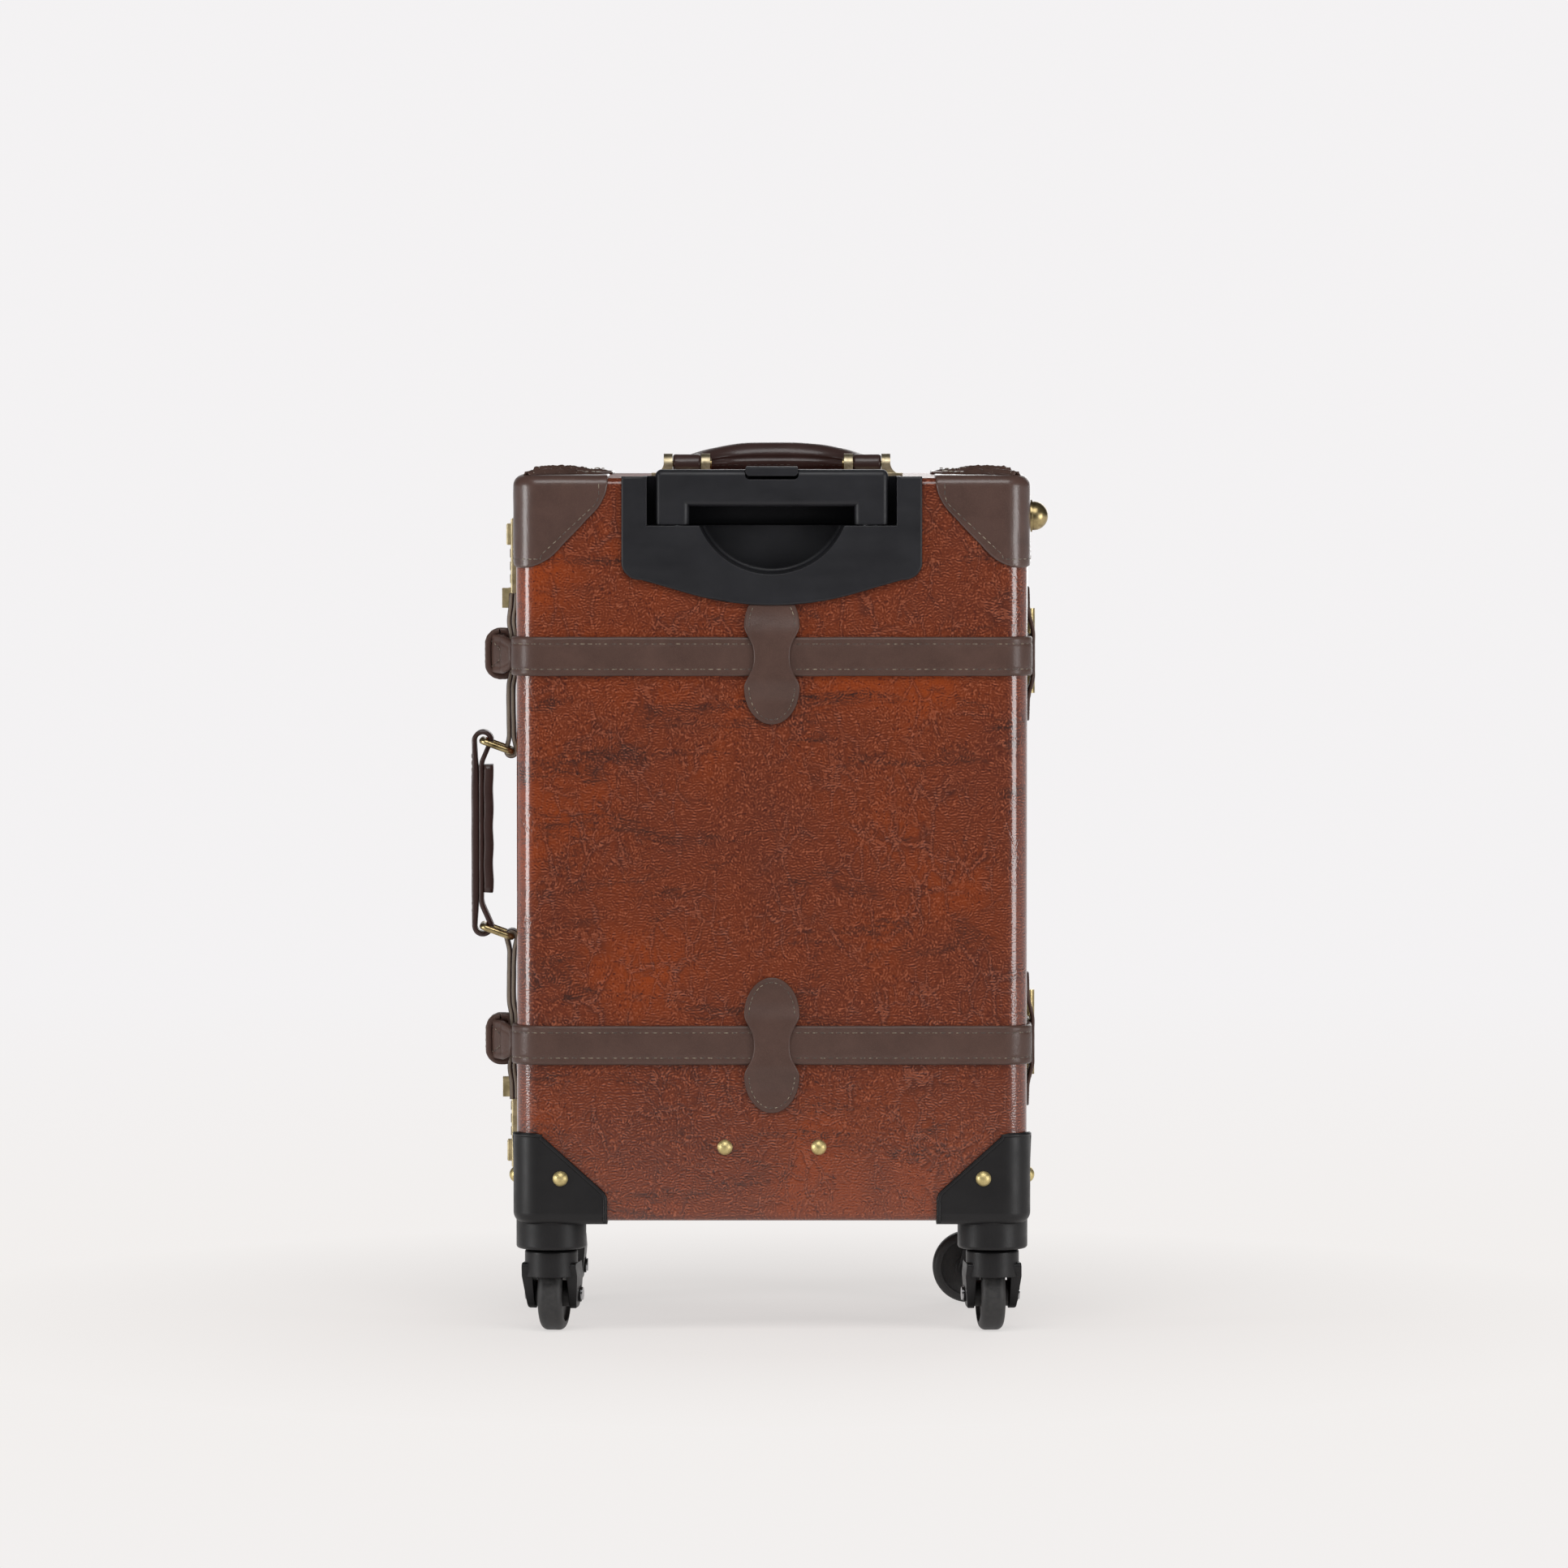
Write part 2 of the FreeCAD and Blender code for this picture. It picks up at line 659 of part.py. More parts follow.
def belt_strip(z, right_end, left_end):
    """Belt round the back half's outside, cut off short of the parting plane on both sides."""
    band = []
    for offset in (SEAT + BELT_THICKNESS, SEAT):
        a = SIDE + offset
        b = HALF_DEPTH + offset
        r = CORNER_RADIUS + offset
        corners = [(-a, -left_end, 0), (-a, -b, r), (a, -b, r), (a, -right_end, 0)]
        face = outline(corners, plan)
        band.append(face.extrude(V(0, 0, BELT_WIDTH)))
    strip = band[0].cut(band[1])
    span = SIDE - CORNER_RADIUS
    inner = box(-SIDE - SEAT, SIDE + SEAT, -HALF_DEPTH - SEAT, 0, 0, BELT_WIDTH)
    strip = strip.cut(inner.cut(corner_rooms(span)))
    return shifted(strip, z=z - BELT_WIDTH / 2)


def corner_rooms(span):
    """Room of the rounded belt corners, which stays belt."""
    rooms = []
    for side in (-1, 1):
        x0, x1 = sorted((side * span, side * (SIDE + SEAT)))
        rooms.append(box(x0, x1, -HALF_DEPTH - SEAT, -HALF_DEPTH + CORNER_RADIUS, 0, BELT_WIDTH))
    return Part.makeCompound(rooms)


def back_belts():
    """Belts of the back half."""
    return [belt_strip(z, BELT_HINGE_END, BELT_LOOP_END) for z in BELTS]


def tongue(z):
    """Free end of a lid belt: it rises from the lid's side and reaches through its loop."""
    low = SIDE + SEAT
    high = low + TONGUE_RISE
    thick = BELT_THICKNESS
    points = [(-low, BELT_LID_END, 0), (-high, -TONGUE_FLAT_START, 0), (-high, -TONGUE_TIP, 0)]
    points += [(-high - thick, -TONGUE_TIP, 0), (-high - thick, -TONGUE_FLAT_START, 0)]
    points.append((-low - thick, BELT_LID_END, 0))
    strap = outline(points, plan).extrude(V(0, 0, BELT_WIDTH))
    strap.translate(V(0, 0, z - BELT_WIDTH / 2))
    half = BELT_WIDTH / 2
    tip = -TONGUE_TIP
    shape = [(tip, z - half / 2, 0), (tip + TONGUE_POINT, z - half, 0), (BELT_LID_END, z - half, 0)]
    shape += [(BELT_LID_END, z + half, 0), (tip + TONGUE_POINT, z + half, 0), (tip, z + half / 2, 0)]
    pointed = outline(shape, profile).extrude(V(-2 * SIDE, 0, 0))
    return strap.common(pointed)


def front_belts():
    """Belts of the lid, each with its tongue."""
    belts = []
    for z in BELTS:
        strip = to_front([belt_strip(z, BELT_HINGE_END, BELT_LID_END)])[0]
        belts.append(joined([strip, tongue(z)]))
    return belts


def dog_bone():
    """Outline of a keeper about the origin, seen from behind: two round lobes and a waist."""
    lobe = KEEPER_WIDTH / 2
    waist = KEEPER_WAIST / 2
    centre = KEEPER_LENGTH / 2 - lobe
    sweep = (waist ** 2 + centre ** 2 - lobe ** 2) / (2 * (lobe - waist))
    share = lobe / (lobe + sweep)
    u = (waist + sweep) * share
    v = centre - centre * share
    ends = KEEPER_LENGTH / 2
    arcs = [((u, v), (0, ends), (-u, v)), ((-u, v), (-waist, 0), (-u, -v))]
    arcs += [((-u, -v), (0, -ends), (u, -v)), ((u, -v), (waist, 0), (u, v))]
    edges = [Part.Arc(*[elevation(*point) for point in arc]).toShape() for arc in arcs]
    return Part.Face(Part.Wire(edges))


def keeper():
    """Dog-bone keeper on the back wall at height zero, bent over the belt."""
    half = BELT_WIDTH / 2 + SEAT
    rise = BELT_THICKNESS + SEAT
    ends = KEEPER_LENGTH / 2
    path = [(-ends, 0), (-half - KEEPER_RAMP, 0), (-half, rise), (half, rise), (half + KEEPER_RAMP, 0), (ends, 0)]
    face = BACK - SEAT
    lower = [(face - n, v, 0) for v, n in path]
    upper = [(face - n - KEEPER_THICKNESS, v, 0) for v, n in reversed(path)]
    bent = outline(lower + upper, profile).extrude(V(KEEPER_WIDTH, 0, 0))
    bent.translate(V(-KEEPER_WIDTH / 2, 0, 0))
    shape = dog_bone().extrude(V(0, 2 * BACK, 0))
    return bent.common(shape)


def side_keeper():
    """Dog-bone keeper on the right wall at height zero."""
    patch = keeper()
    patch.translate(V(0, -BACK, 0))
    patch.rotate(V(0, 0, 0), V(0, 0, 1), 90)
    patch.translate(V(SIDE, BACK + SIDE_KEEPER_DEPTH, 0))
    return patch


def belt_keepers():
    """Keepers of one half: on its face and on its hinge side, over both belts."""
    return [shifted(patch, z=z) for z in BELTS for patch in (keeper(), side_keeper())]


def back_belt_keepers():
    """Keepers of the back half; the upper one is trimmed to the trolley housing."""
    housing = housing_outline(GAP)
    housing.translate(V(0, BACK, 0))
    room = housing.extrude(V(0, -2 * HOUSING_PROUD, 0))
    return [patch.cut(room) for patch in belt_keepers()]


def belt_loop(z):
    """Leather loop on a side handle tab, through which a belt tongue passes."""
    base = SIDE + SEAT + TAB_THICKNESS
    rings = []
    for inset in (0, LOOP_THICKNESS):
        half = LOOP_HEIGHT / 2 - inset
        near = -base - inset
        far = -base - LOOP_STANDOFF + inset
        r = LOOP_ROUND - inset
        face = outline([(near, z - half, r), (far, z - half, r), (far, z + half, r), (near, z + half, r)], elevation)
        face.translate(V(0, STRAP_Y - LOOP_WIDTH / 2, 0))
        rings.append(face.extrude(V(0, LOOP_WIDTH, 0)))
    return rings[0].cut(rings[1])


def belt_loops():
    """Loops for both belt tongues."""
    return [belt_loop(z) for z in BELTS]


def handle_tab(bar_z, far):
    """Leather tab on the left wall, folded round a ring's inner bar and sewn down as far as a height."""
    y0 = STRAP_Y - STRAP_WIDTH / 2
    y1 = STRAP_Y + STRAP_WIDTH / 2
    z0, z1 = sorted((bar_z, far))
    plate = box(-SIDE - SEAT - TAB_THICKNESS, -SIDE - SEAT, y0, y1, z0, z1)
    fold = rod(V(BAR_X, y0, bar_z), V(BAR_X, y1, bar_z), FOLD_RADIUS)
    bore = rod(V(BAR_X, y0, bar_z), V(BAR_X, y1, bar_z), RING_WIRE_RADIUS + RUN)
    return joined([plate, fold]).cut(bore)


def side_handle_tabs():
    """Tabs above and below the side handle; each passes under its belt's loop."""
    return [handle_tab(HIGH_BAR_Z, UPPER_BELT + TAB_PAST_BELT), handle_tab(LOW_BAR_Z, LOWER_BELT - TAB_PAST_BELT)]


def handle_ring(bar_z):
    """Rounded rectangular wire ring that slopes up and out from its tab."""
    centre = V(BAR_X, STRAP_Y, bar_z)
    half = RING_WIDTH / 2

    def place(u, v):
        return centre + RING_OUT * u + V(0, v, 0)

    r = RING_ROUND
    frame_line = outline([(0, -half, r), (RING_LENGTH, -half, r), (RING_LENGTH, half, r), (0, half, r)], place)
    path = frame_line.OuterWire
    start = place(0, 0)
    bars = []
    edges = path.Edges
    for edge in edges:
        first = edge.valueAt(edge.FirstParameter)
        tangent = edge.tangentAt(edge.FirstParameter)
        section = Part.Wire(Part.makeCircle(RING_WIRE_RADIUS, first, tangent))
        bars.append(Part.Wire(edge).makePipeShell([section], True, False))
    return [joined(bars)]


def outer_bar(bar_z):
    """Axis point of a ring's outer bar."""
    return V(BAR_X, STRAP_Y, bar_z) + RING_OUT * RING_LENGTH


def side_handle():
    """Strap loop of the side handle round the outer bars of both rings."""
    low = outer_bar(LOW_BAR_Z)
    high = outer_bar(HIGH_BAR_Z)
    half = HANDLE_THICKNESS / 2
    y0 = STRAP_Y - STRAP_WIDTH / 2
    along = V(0, STRAP_WIDTH, 0)
    hole = RING_WIRE_RADIUS + LOOSE_FIT
    body = box(low.x - half, low.x + half, y0, y0 + STRAP_WIDTH, low.z, high.z)
    ends = [rod(V(p.x, y0, p.z), V(p.x, y0, p.z) + along, half) for p in (low, high)]
    strap = joined([body] + ends)
    for bar, way in ((low, 1), (high, -1)):
        strap = strap.cut(rod(V(bar.x, y0, bar.z), V(bar.x, y0, bar.z) + along, hole))
        tip = bar.z + way * TEARDROP_LENGTH
        drop = outline([(bar.x - hole, bar.z, 0), (bar.x + hole, bar.z, 0), (bar.x, tip, 0)], elevation)
        drop.translate(V(0, y0, 0))
        strap = strap.cut(drop.extrude(along))
    return [strap]


def ear(x):
    """Upright ear of a top handle bracket, standing on its plate, from x to x plus its thickness."""
    low = CASE_TOP + SEAT
    post = box(x, x + EAR_THICKNESS, PIN_Y - EAR_RADIUS, PIN_Y + EAR_RADIUS, low, PIN_Z)
    head = rod(V(x, PIN_Y, PIN_Z), V(x + EAR_THICKNESS, PIN_Y, PIN_Z), EAR_RADIUS)
    return [post, head]


def top_bracket():
    """Right bracket of the top handle: plate, inner ear and flared outer ear."""
    middle = PIN_SPAN / 2
    clear = ROLL_WIDTH / 2 + GAP
    inner = middle - clear - EAR_THICKNESS
    outer = middle + clear
    low = CASE_TOP + SEAT
    half = BRACKET_PLATE_DEPTH / 2
    flare_end = outer + EAR_THICKNESS + EAR_FLARE
    plate = box(inner, flare_end, PIN_Y - half, PIN_Y + half, low, low + BRACKET_PLATE)
    corner = outer + EAR_THICKNESS
    tip = elevation(flare_end, low + BRACKET_PLATE / 2)
    foot = elevation(flare_end, low)
    heel = elevation(corner, low)
    head = elevation(corner, PIN_Z)
    hollow = elevation(corner + EAR_FLARE * EAR_HOLLOW, low + (PIN_Z - low) * EAR_HOLLOW)
    edges = [Part.LineSegment(a, b).toShape() for a, b in ((tip, foot), (foot, heel), (heel, head))]
    edges.append(Part.Arc(head, hollow, tip).toShape())
    gusset = Part.Face(Part.Wire(Part.__sortEdges__(edges))).extrude(V(0, 2 * EAR_RADIUS, 0))
    gusset.translate(V(0, PIN_Y - EAR_RADIUS, 0))
    bracket = joined([plate, gusset] + ear(inner) + ear(outer))
    room_low = low + BRACKET_PLATE
    bore = rod(V(inner, PIN_Y, PIN_Z), V(flare_end, PIN_Y, PIN_Z), PIN_RADIUS + RUN)
    clear_roll = rod(V(middle - clear, PIN_Y, PIN_Z), V(middle + clear, PIN_Y, PIN_Z), EAR_RADIUS)
    return bracket.cut(bore).cut(clear_roll)


def top_handle_brackets():
    """Both brackets of the top handle."""
    return [shifted(bracket, x=HANDLE_SHIFT) for bracket in left_right(top_bracket())]


def top_handle_pins():
    """Headed pins on which the top handle swings."""
    clear = ROLL_WIDTH / 2 + GAP + EAR_THICKNESS
    start = PIN_SPAN / 2 - clear - SEAT
    end = PIN_SPAN / 2 + clear
    shank = rod(V(start, PIN_Y, PIN_Z), V(end, PIN_Y, PIN_Z), PIN_RADIUS)
    head = rod(V(start - PIN_HEAD_LENGTH, PIN_Y, PIN_Z), V(start, PIN_Y, PIN_Z), PIN_HEAD_RADIUS)
    pin = joined([shank, head])
    return [shifted(pin, x=HANDLE_SHIFT) for pin in left_right(pin)]


def carry_section(turn):
    """Oval section of the top handle where its arch has turned by an angle."""
    power = 2 / CARRY_SQUARENESS
    cosine = math.cos(turn)
    sine = math.sin(turn)
    x = PIN_SPAN / 2 * math.copysign(abs(cosine) ** power, cosine)
    y = CARRY_REACH * sine ** power
    share = sine ** 2
    width = CARRY_END_WIDTH + (CARRY_GRIP_WIDTH - CARRY_END_WIDTH) * share
    height = CARRY_END_HEIGHT + (CARRY_GRIP_HEIGHT - CARRY_END_HEIGHT) * share
    centre = V(x + HANDLE_SHIFT, PIN_Y + y, PIN_Z + CARRY_GRIP_LIFT * share)
    across = V(cosine, sine, 0)
    a = across * (width / 2)
    b = V(0, 0, height / 2)
    knee = math.sqrt(0.5)
    rim = [a, b, a * -1, b * -1]
    edges = []
    for i in range(4):
        first = rim[i]
        second = rim[(i + 1) % 4]
        between = (first + second) * knee
        edges.append(Part.Arc(centre + first, centre + between, centre + second).toShape())
    return Part.Wire(edges)


def top_handle():
    """Padded carry handle: an arch that swells in the middle, with a roll round each pin."""
    lead = math.radians(12)
    turns = [lead + (math.pi - 2 * lead) * i / (CARRY_SECTIONS - 1) for i in range(CARRY_SECTIONS)]
    arch = Part.makeLoft([carry_section(turn) for turn in turns], True, False)
    pieces = [arch]
    holes = []
    for side in (-1, 1):
        x = side * PIN_SPAN / 2 + HANDLE_SHIFT
        start = V(x - ROLL_WIDTH / 2, PIN_Y, PIN_Z)
        end = V(x + ROLL_WIDTH / 2, PIN_Y, PIN_Z)
        pieces.append(rod(start, end, EAR_RADIUS - GAP))
        holes.append(rod(start, end, PIN_RADIUS + RUN))
        root = carry_section(turns[0] if side > 0 else turns[-1])
        arm = box(x - CARRY_END_WIDTH / 2, x + CARRY_END_WIDTH / 2, PIN_Y, root.BoundBox.Center.y,
                  PIN_Z - CARRY_END_HEIGHT / 2, PIN_Z + CARRY_END_HEIGHT / 2)
        pieces.append(arm)
    handle = joined(pieces)
    return [handle.cut(Part.makeCompound(holes))]


def trolley_housing():
    """Black housing of the trolley grip: face plate, recess open at the top, finger scoop."""
    face = housing_outline(0)
    face.translate(V(0, BACK - HOUSING_PROUD, 0))
    plate = face.extrude(V(0, HOUSING_PROUD + RIM_RADIUS, 0))
    rounds = [edge for edge in plate.Edges if edge.BoundBox.YMax < BACK - HOUSING_PROUD + 1e-6]
    plate = plate.makeFillet(HOUSING_PROUD / 3, rounds).cut(half_block(SEAT))
    body = joined([plate, recess_room(0), scoop_below()])
    half = RECESS_HALF_WIDTH
    front = BACK - 2 * HOUSING_PROUD
    recess = box(-half, half, front, RECESS_BACK, RECESS_FLOOR, HOUSING_TOP + HOUSING_PROUD)
    body = body.cut(recess).cut(scoop_room(0))
    for side in (-1, 1):
        x = side * TUBE_SPACING / 2
        start = V(x, TUBE_Y, RECESS_FLOOR - 2 * HOUSING_WALL)
        body = body.cut(rod(start, start + V(0, 0, 3 * HOUSING_WALL), OUTER_TUBE_RADIUS + RUN))
    return [body]


def scoop_below():
    """Outer wall of the finger scoop below the recess floor, behind the face plate."""
    wall = scoop_room(HOUSING_WALL)
    reach = SCOOP_RADIUS + 2 * HOUSING_WALL
    low = CASE_TOP - 2 * SCOOP_DROP
    return wall.common(box(-reach, reach, BACK - HOUSING_PROUD / 2, 0, low, RECESS_FLOOR))


def trolley_outer_tubes():
    """Fixed tubes from the recess floor down to the foot bracket."""
    tubes = []
    for side in (-1, 1):
        x = side * TUBE_SPACING / 2
        start = V(x, TUBE_Y, TUBE_BOTTOM)
        end = V(x, TUBE_Y, RECESS_FLOOR)
        tubes.append(tube(start, end, OUTER_TUBE_RADIUS, OUTER_TUBE_RADIUS - TUBE_WALL))
    return tubes


def trolley_mid_tubes():
    """Middle stage of the trolley tubes."""
    tubes = []
    for side in (-1, 1):
        x = side * TUBE_SPACING / 2
        start = V(x, TUBE_Y, TUBE_BOTTOM + TUBE_STEP)
        end = V(x, TUBE_Y, RECESS_FLOOR + GAP)
        tubes.append(tube(start, end, MID_TUBE_RADIUS, MID_TUBE_RADIUS - TUBE_WALL))
    return tubes


def trolley_inner_tubes():
    """Inner stage of the trolley tubes, fixed in the grip."""
    tubes = []
    for side in (-1, 1):
        x = side * TUBE_SPACING / 2
        start = V(x, TUBE_Y, TUBE_BOTTOM + 2 * TUBE_STEP)
        end = V(x, TUBE_Y, RECESS_FLOOR + 2 * GAP + TUBE_GRIP_DEPTH)
        tubes.append(tube(start, end, INNER_TUBE_RADIUS, INNER_TUBE_RADIUS - TUBE_WALL))
    return tubes


def button_room(grow, low, high):
    """Rounded upright block at the grip's top front edge, for the button and its pocket."""
    half = BUTTON_WIDTH / 2 + grow
    front = GRIP_FRONT - 2 * grow
    rear = GRIP_FRONT + BUTTON_DEPTH + grow
    r = BUTTON_ROUND + grow
    face = outline([(-half, front, 0), (half, front, 0), (half, rear, r), (-half, rear, r)], plan)
    face.translate(V(0, 0, low))
    block = face.extrude(V(0, 0, high - low))
    chin = BUTTON_CHIN + grow
    view = outline([(-half, low, chin), (half, low, chin), (half, high, 0), (-half, high, 0)], elevation)
    view.translate(V(0, front, 0))
    return block.common(view.extrude(V(0, rear - front, 0)))


def trolley_grip():
    """Grip of the trolley handle: a bar on two legs with a finger notch below."""
    low = RECESS_FLOOR + 2 * GAP
    half = GRIP_HALF_WIDTH
    rear = GRIP_FRONT + GRIP_DEPTH
    grip = box(-half, half, GRIP_FRONT, rear, low, GRIP_TOP)
    rounds = []
    for edge in grip.Edges:
        bounds = edge.BoundBox
        at_top = bounds.ZMin > GRIP_TOP - 1e-6
        upright = bounds.ZLength > 1e-6
        if at_top or upright:
            rounds.append(edge)
    grip = grip.makeFillet(GRIP_ROUND, rounds)
    notch = box(-NOTCH_HALF_WIDTH, NOTCH_HALF_WIDTH, GRIP_FRONT - GRIP_DEPTH, rear + GRIP_DEPTH,
                low - GAP, CASE_TOP - NOTCH_DROP)
    grip = grip.cut(notch)
    lip = []
    for edge in grip.Edges:
        bounds = edge.BoundBox
        in_front = bounds.YMax < GRIP_FRONT + 1e-6
        inside = max(-bounds.XMin, bounds.XMax) < NOTCH_HALF_WIDTH + 1e-6
        if in_front and inside:
            lip.append(edge)
    grip = grip.makeFillet(NOTCH_LIP, lip)
    floor = GRIP_TOP + BUTTON_PROUD - BUTTON_HEIGHT - BUTTON_TRAVEL - GAP
    grip = grip.cut(button_room(GAP, floor, GRIP_TOP + BUTTON_PROUD))
    for side in (-1, 1):
        x = side * TUBE_SPACING / 2
        start = V(x, TUBE_Y, low)
        grip = grip.cut(rod(start, start + V(0, 0, TUBE_GRIP_DEPTH), INNER_TUBE_RADIUS + RUN))
    return [grip]


def trolley_button():
    """Release button that stands proud of the grip."""
    high = GRIP_TOP + BUTTON_PROUD
    button = button_room(0, high - BUTTON_HEIGHT, high)
    top = [edge for edge in button.Edges if edge.BoundBox.ZMin > high - 1e-6]
    return [button.makeFillet(BUTTON_PROUD / 2, top)]


def trolley_foot_bracket():
    """Bracket on the inside of the back wall that holds the tubes' lower ends."""
    z = CASE_BOTTOM + BRACKET_RIVET_HEIGHT
    half = FOOT_BRACKET_WIDTH / 2
    low = z - FOOT_BRACKET_HEIGHT / 2
    high = z + FOOT_BRACKET_HEIGHT / 2
    rear = BACK + WALL + SEAT
    front = TUBE_Y + OUTER_TUBE_RADIUS
    plate = box(-half, half, rear, rear + 2 * HOUSING_WALL, low, high)
    pieces = [plate]
    for side in (-1, 1):
        x = side * TUBE_SPACING / 2
        reach = FOOT_BRACKET_SOCKET / 2
        pieces.append(box(x - reach, x + reach, rear, front, low, high))
    bracket = joined(pieces)
    for side in (-1, 1):
        x = side * TUBE_SPACING / 2
        start = V(x, TUBE_Y, TUBE_BOTTOM - SEAT)
        bracket = bracket.cut(rod(start, start + V(0, 0, FOOT_BRACKET_HEIGHT * 2), OUTER_TUBE_RADIUS + RUN))
    return [bracket.cut(bracket_holes())]


def lock_case(z, way):
    """Brass case of a combination lock, with its dial slots, dial axle and slider slot."""
    x0 = -SIDE - LOCK_THICKNESS
    x1 = -SIDE - SEAT
    half = LOCK_LENGTH / 2
    case = box(x0, x1, LOCK_Y - LOCK_WIDTH / 2, LOCK_Y + LOCK_WIDTH / 2, z - half, z + half)
    rounds = [edge for edge in case.Edges if edge.BoundBox.XMax < x0 + 1e-6]
    case = case.makeFillet(LOCK_EDGE_RADIUS, rounds)
    reach = DIAL_RADIUS + GAP
    for i in (-1, 0, 1):
        low = z + i * DIAL_PITCH - DIAL_THICKNESS / 2 - GAP
        high = z + i * DIAL_PITCH + DIAL_THICKNESS / 2 + GAP
        case = case.cut(box(x0 - LOCK_THICKNESS, x1, LOCK_Y - reach, LOCK_Y + reach, low, high))
    end = DIAL_PITCH + DIAL_THICKNESS / 2 + 2 * GAP
    axle = rod(V(-SIDE - DIAL_AXIS, LOCK_Y, z - end), V(-SIDE - DIAL_AXIS, LOCK_Y, z + end), DIAL_AXLE_RADIUS)
    case = joined([case, axle])
    stem = z + way * KNOB_OFFSET
    ends = sorted((stem - way * (SLIDER_STEM / 2 + GAP), stem + way * (SLIDER_STEM / 2 + SLIDER_TRAVEL + GAP)))
    half_slot = SLIDER_STEM_WIDTH / 2 + GAP
    return case.cut(box(x0, x1, LOCK_Y - half_slot, LOCK_Y + half_slot, ends[0], ends[1]))


def lock_cases():
    """Cases of the upper and lower lock."""
    return [lock_case(z, way) for name, z, way in LOCKS]


def lock_dial(z):
    """Fluted dial on the lock's axle."""
    start = V(-SIDE - DIAL_AXIS, LOCK_Y, z - DIAL_THICKNESS / 2)
    end = start + V(0, 0, DIAL_THICKNESS)
    dial = tube(start, end, DIAL_RADIUS, DIAL_AXLE_RADIUS + RUN)
    for i in range(DIAL_FLUTES):
        angle = 2 * math.pi * i / DIAL_FLUTES
        out = V(math.cos(angle), math.sin(angle), 0) * DIAL_RADIUS
        dial = dial.cut(rod(start + out, end + out, DIAL_FLUTE_RADIUS))
    return [dial]


def lock_slider(z, way):
    """Knob of a lock: a block on a stem that runs in the case's slot."""
    stem_z = z + way * KNOB_OFFSET
    face = -SIDE - LOCK_THICKNESS - GAP
    half = SLIDER_LENGTH / 2
    knob = box(face - SLIDER_PROUD, face, LOCK_Y - SLIDER_WIDTH / 2, LOCK_Y + SLIDER_WIDTH / 2,
               stem_z - half, stem_z + half)
    rounds = [edge for edge in knob.Edges if edge.BoundBox.XMax < face - SLIDER_PROUD + 1e-6]
    knob = knob.makeFillet(SLIDER_PROUD / 3, rounds)
    stem = box(face, -SIDE - GAP, LOCK_Y - SLIDER_STEM_WIDTH / 2, LOCK_Y + SLIDER_STEM_WIDTH / 2,
               stem_z - SLIDER_STEM / 2, stem_z + SLIDER_STEM / 2)
    return [joined([knob, stem])]


def hasp_axis(z):
    """Middle of a hasp's pivot on the lid's left side."""
    return V(-SIDE - SEAT - HASP_BARREL_RADIUS, HASP_AXIS_DEPTH, z)


def hasp_base(z):
    """Plate on the lid with the two outer knuckles and the pin of a hasp."""
    axis = hasp_axis(z)
    half = HASP_HEIGHT / 2
    near = HASP_AXIS_DEPTH - HASP_BARREL_RADIUS
    plate = box(-SIDE - SEAT - HASP_BASE_THICKNESS, -SIDE - SEAT, near, near + HASP_BASE_DEPTH,
                z - half, z + half)
    turn = half - HASP_KNUCKLE
    room = rod(axis - V(0, 0, turn), axis + V(0, 0, turn), HASP_BARREL_RADIUS + GAP)
    pieces = [plate.cut(room)]
    for side in (-1, 1):
        start = axis + V(0, 0, side * turn)
        pieces.append(rod(start, axis + V(0, 0, side * half), HASP_BARREL_RADIUS))
    pieces.append(rod(axis - V(0, 0, half), axis + V(0, 0, half), HASP_PIN_RADIUS))
    return joined(pieces)


def hasp_bases():
    """Hasp bases of both locks."""
    return [hasp_base(z - way * KNOB_OFFSET) for name, z, way in LOCKS]


def hasp(z):
    """Hasp that lies from the lid over the lock case and ends in a finger tab."""
    axis = hasp_axis(z)
    turn = HASP_HEIGHT / 2 - HASP_KNUCKLE - GAP
    barrel = rod(axis - V(0, 0, turn), axis + V(0, 0, turn), HASP_BARREL_RADIUS)
    face = -SIDE - LOCK_THICKNESS - GAP
    end = -HASP_REACH
    near = -LOCK_SETBACK / 2
    root = axis.x - HASP_BARREL_RADIUS
    points = [(root, axis.y, 0), (axis.x, axis.y - HASP_BARREL_RADIUS, 0), (face, near, 0), (face, end, 0)]
    points += [(face - HASP_THICKNESS - HASP_TAB_HEIGHT, end, 0)]
    points += [(face - HASP_THICKNESS - HASP_TAB_HEIGHT, end + HASP_TAB, 0)]
    points += [(face - HASP_THICKNESS, end + HASP_TAB, 0), (face - HASP_THICKNESS, near, 0)]
    arm = outline(points, plan).extrude(V(0, 0, 2 * turn))
    arm.translate(V(0, 0, z - turn))
    plate = box(face - HASP_THICKNESS, face, end, near, z - HASP_HEIGHT / 2, z + HASP_HEIGHT / 2)
    tab = box(face - HASP_THICKNESS - HASP_TAB_HEIGHT, face - HASP_THICKNESS, end, end + HASP_TAB,
              z - HASP_HEIGHT / 2, z + HASP_HEIGHT / 2)
    whole = joined([barrel, arm, plate, tab])
    bore = rod(axis - V(0, 0, HASP_HEIGHT), axis + V(0, 0, HASP_HEIGHT), HASP_PIN_RADIUS + RUN)
    return [whole.cut(bore)]


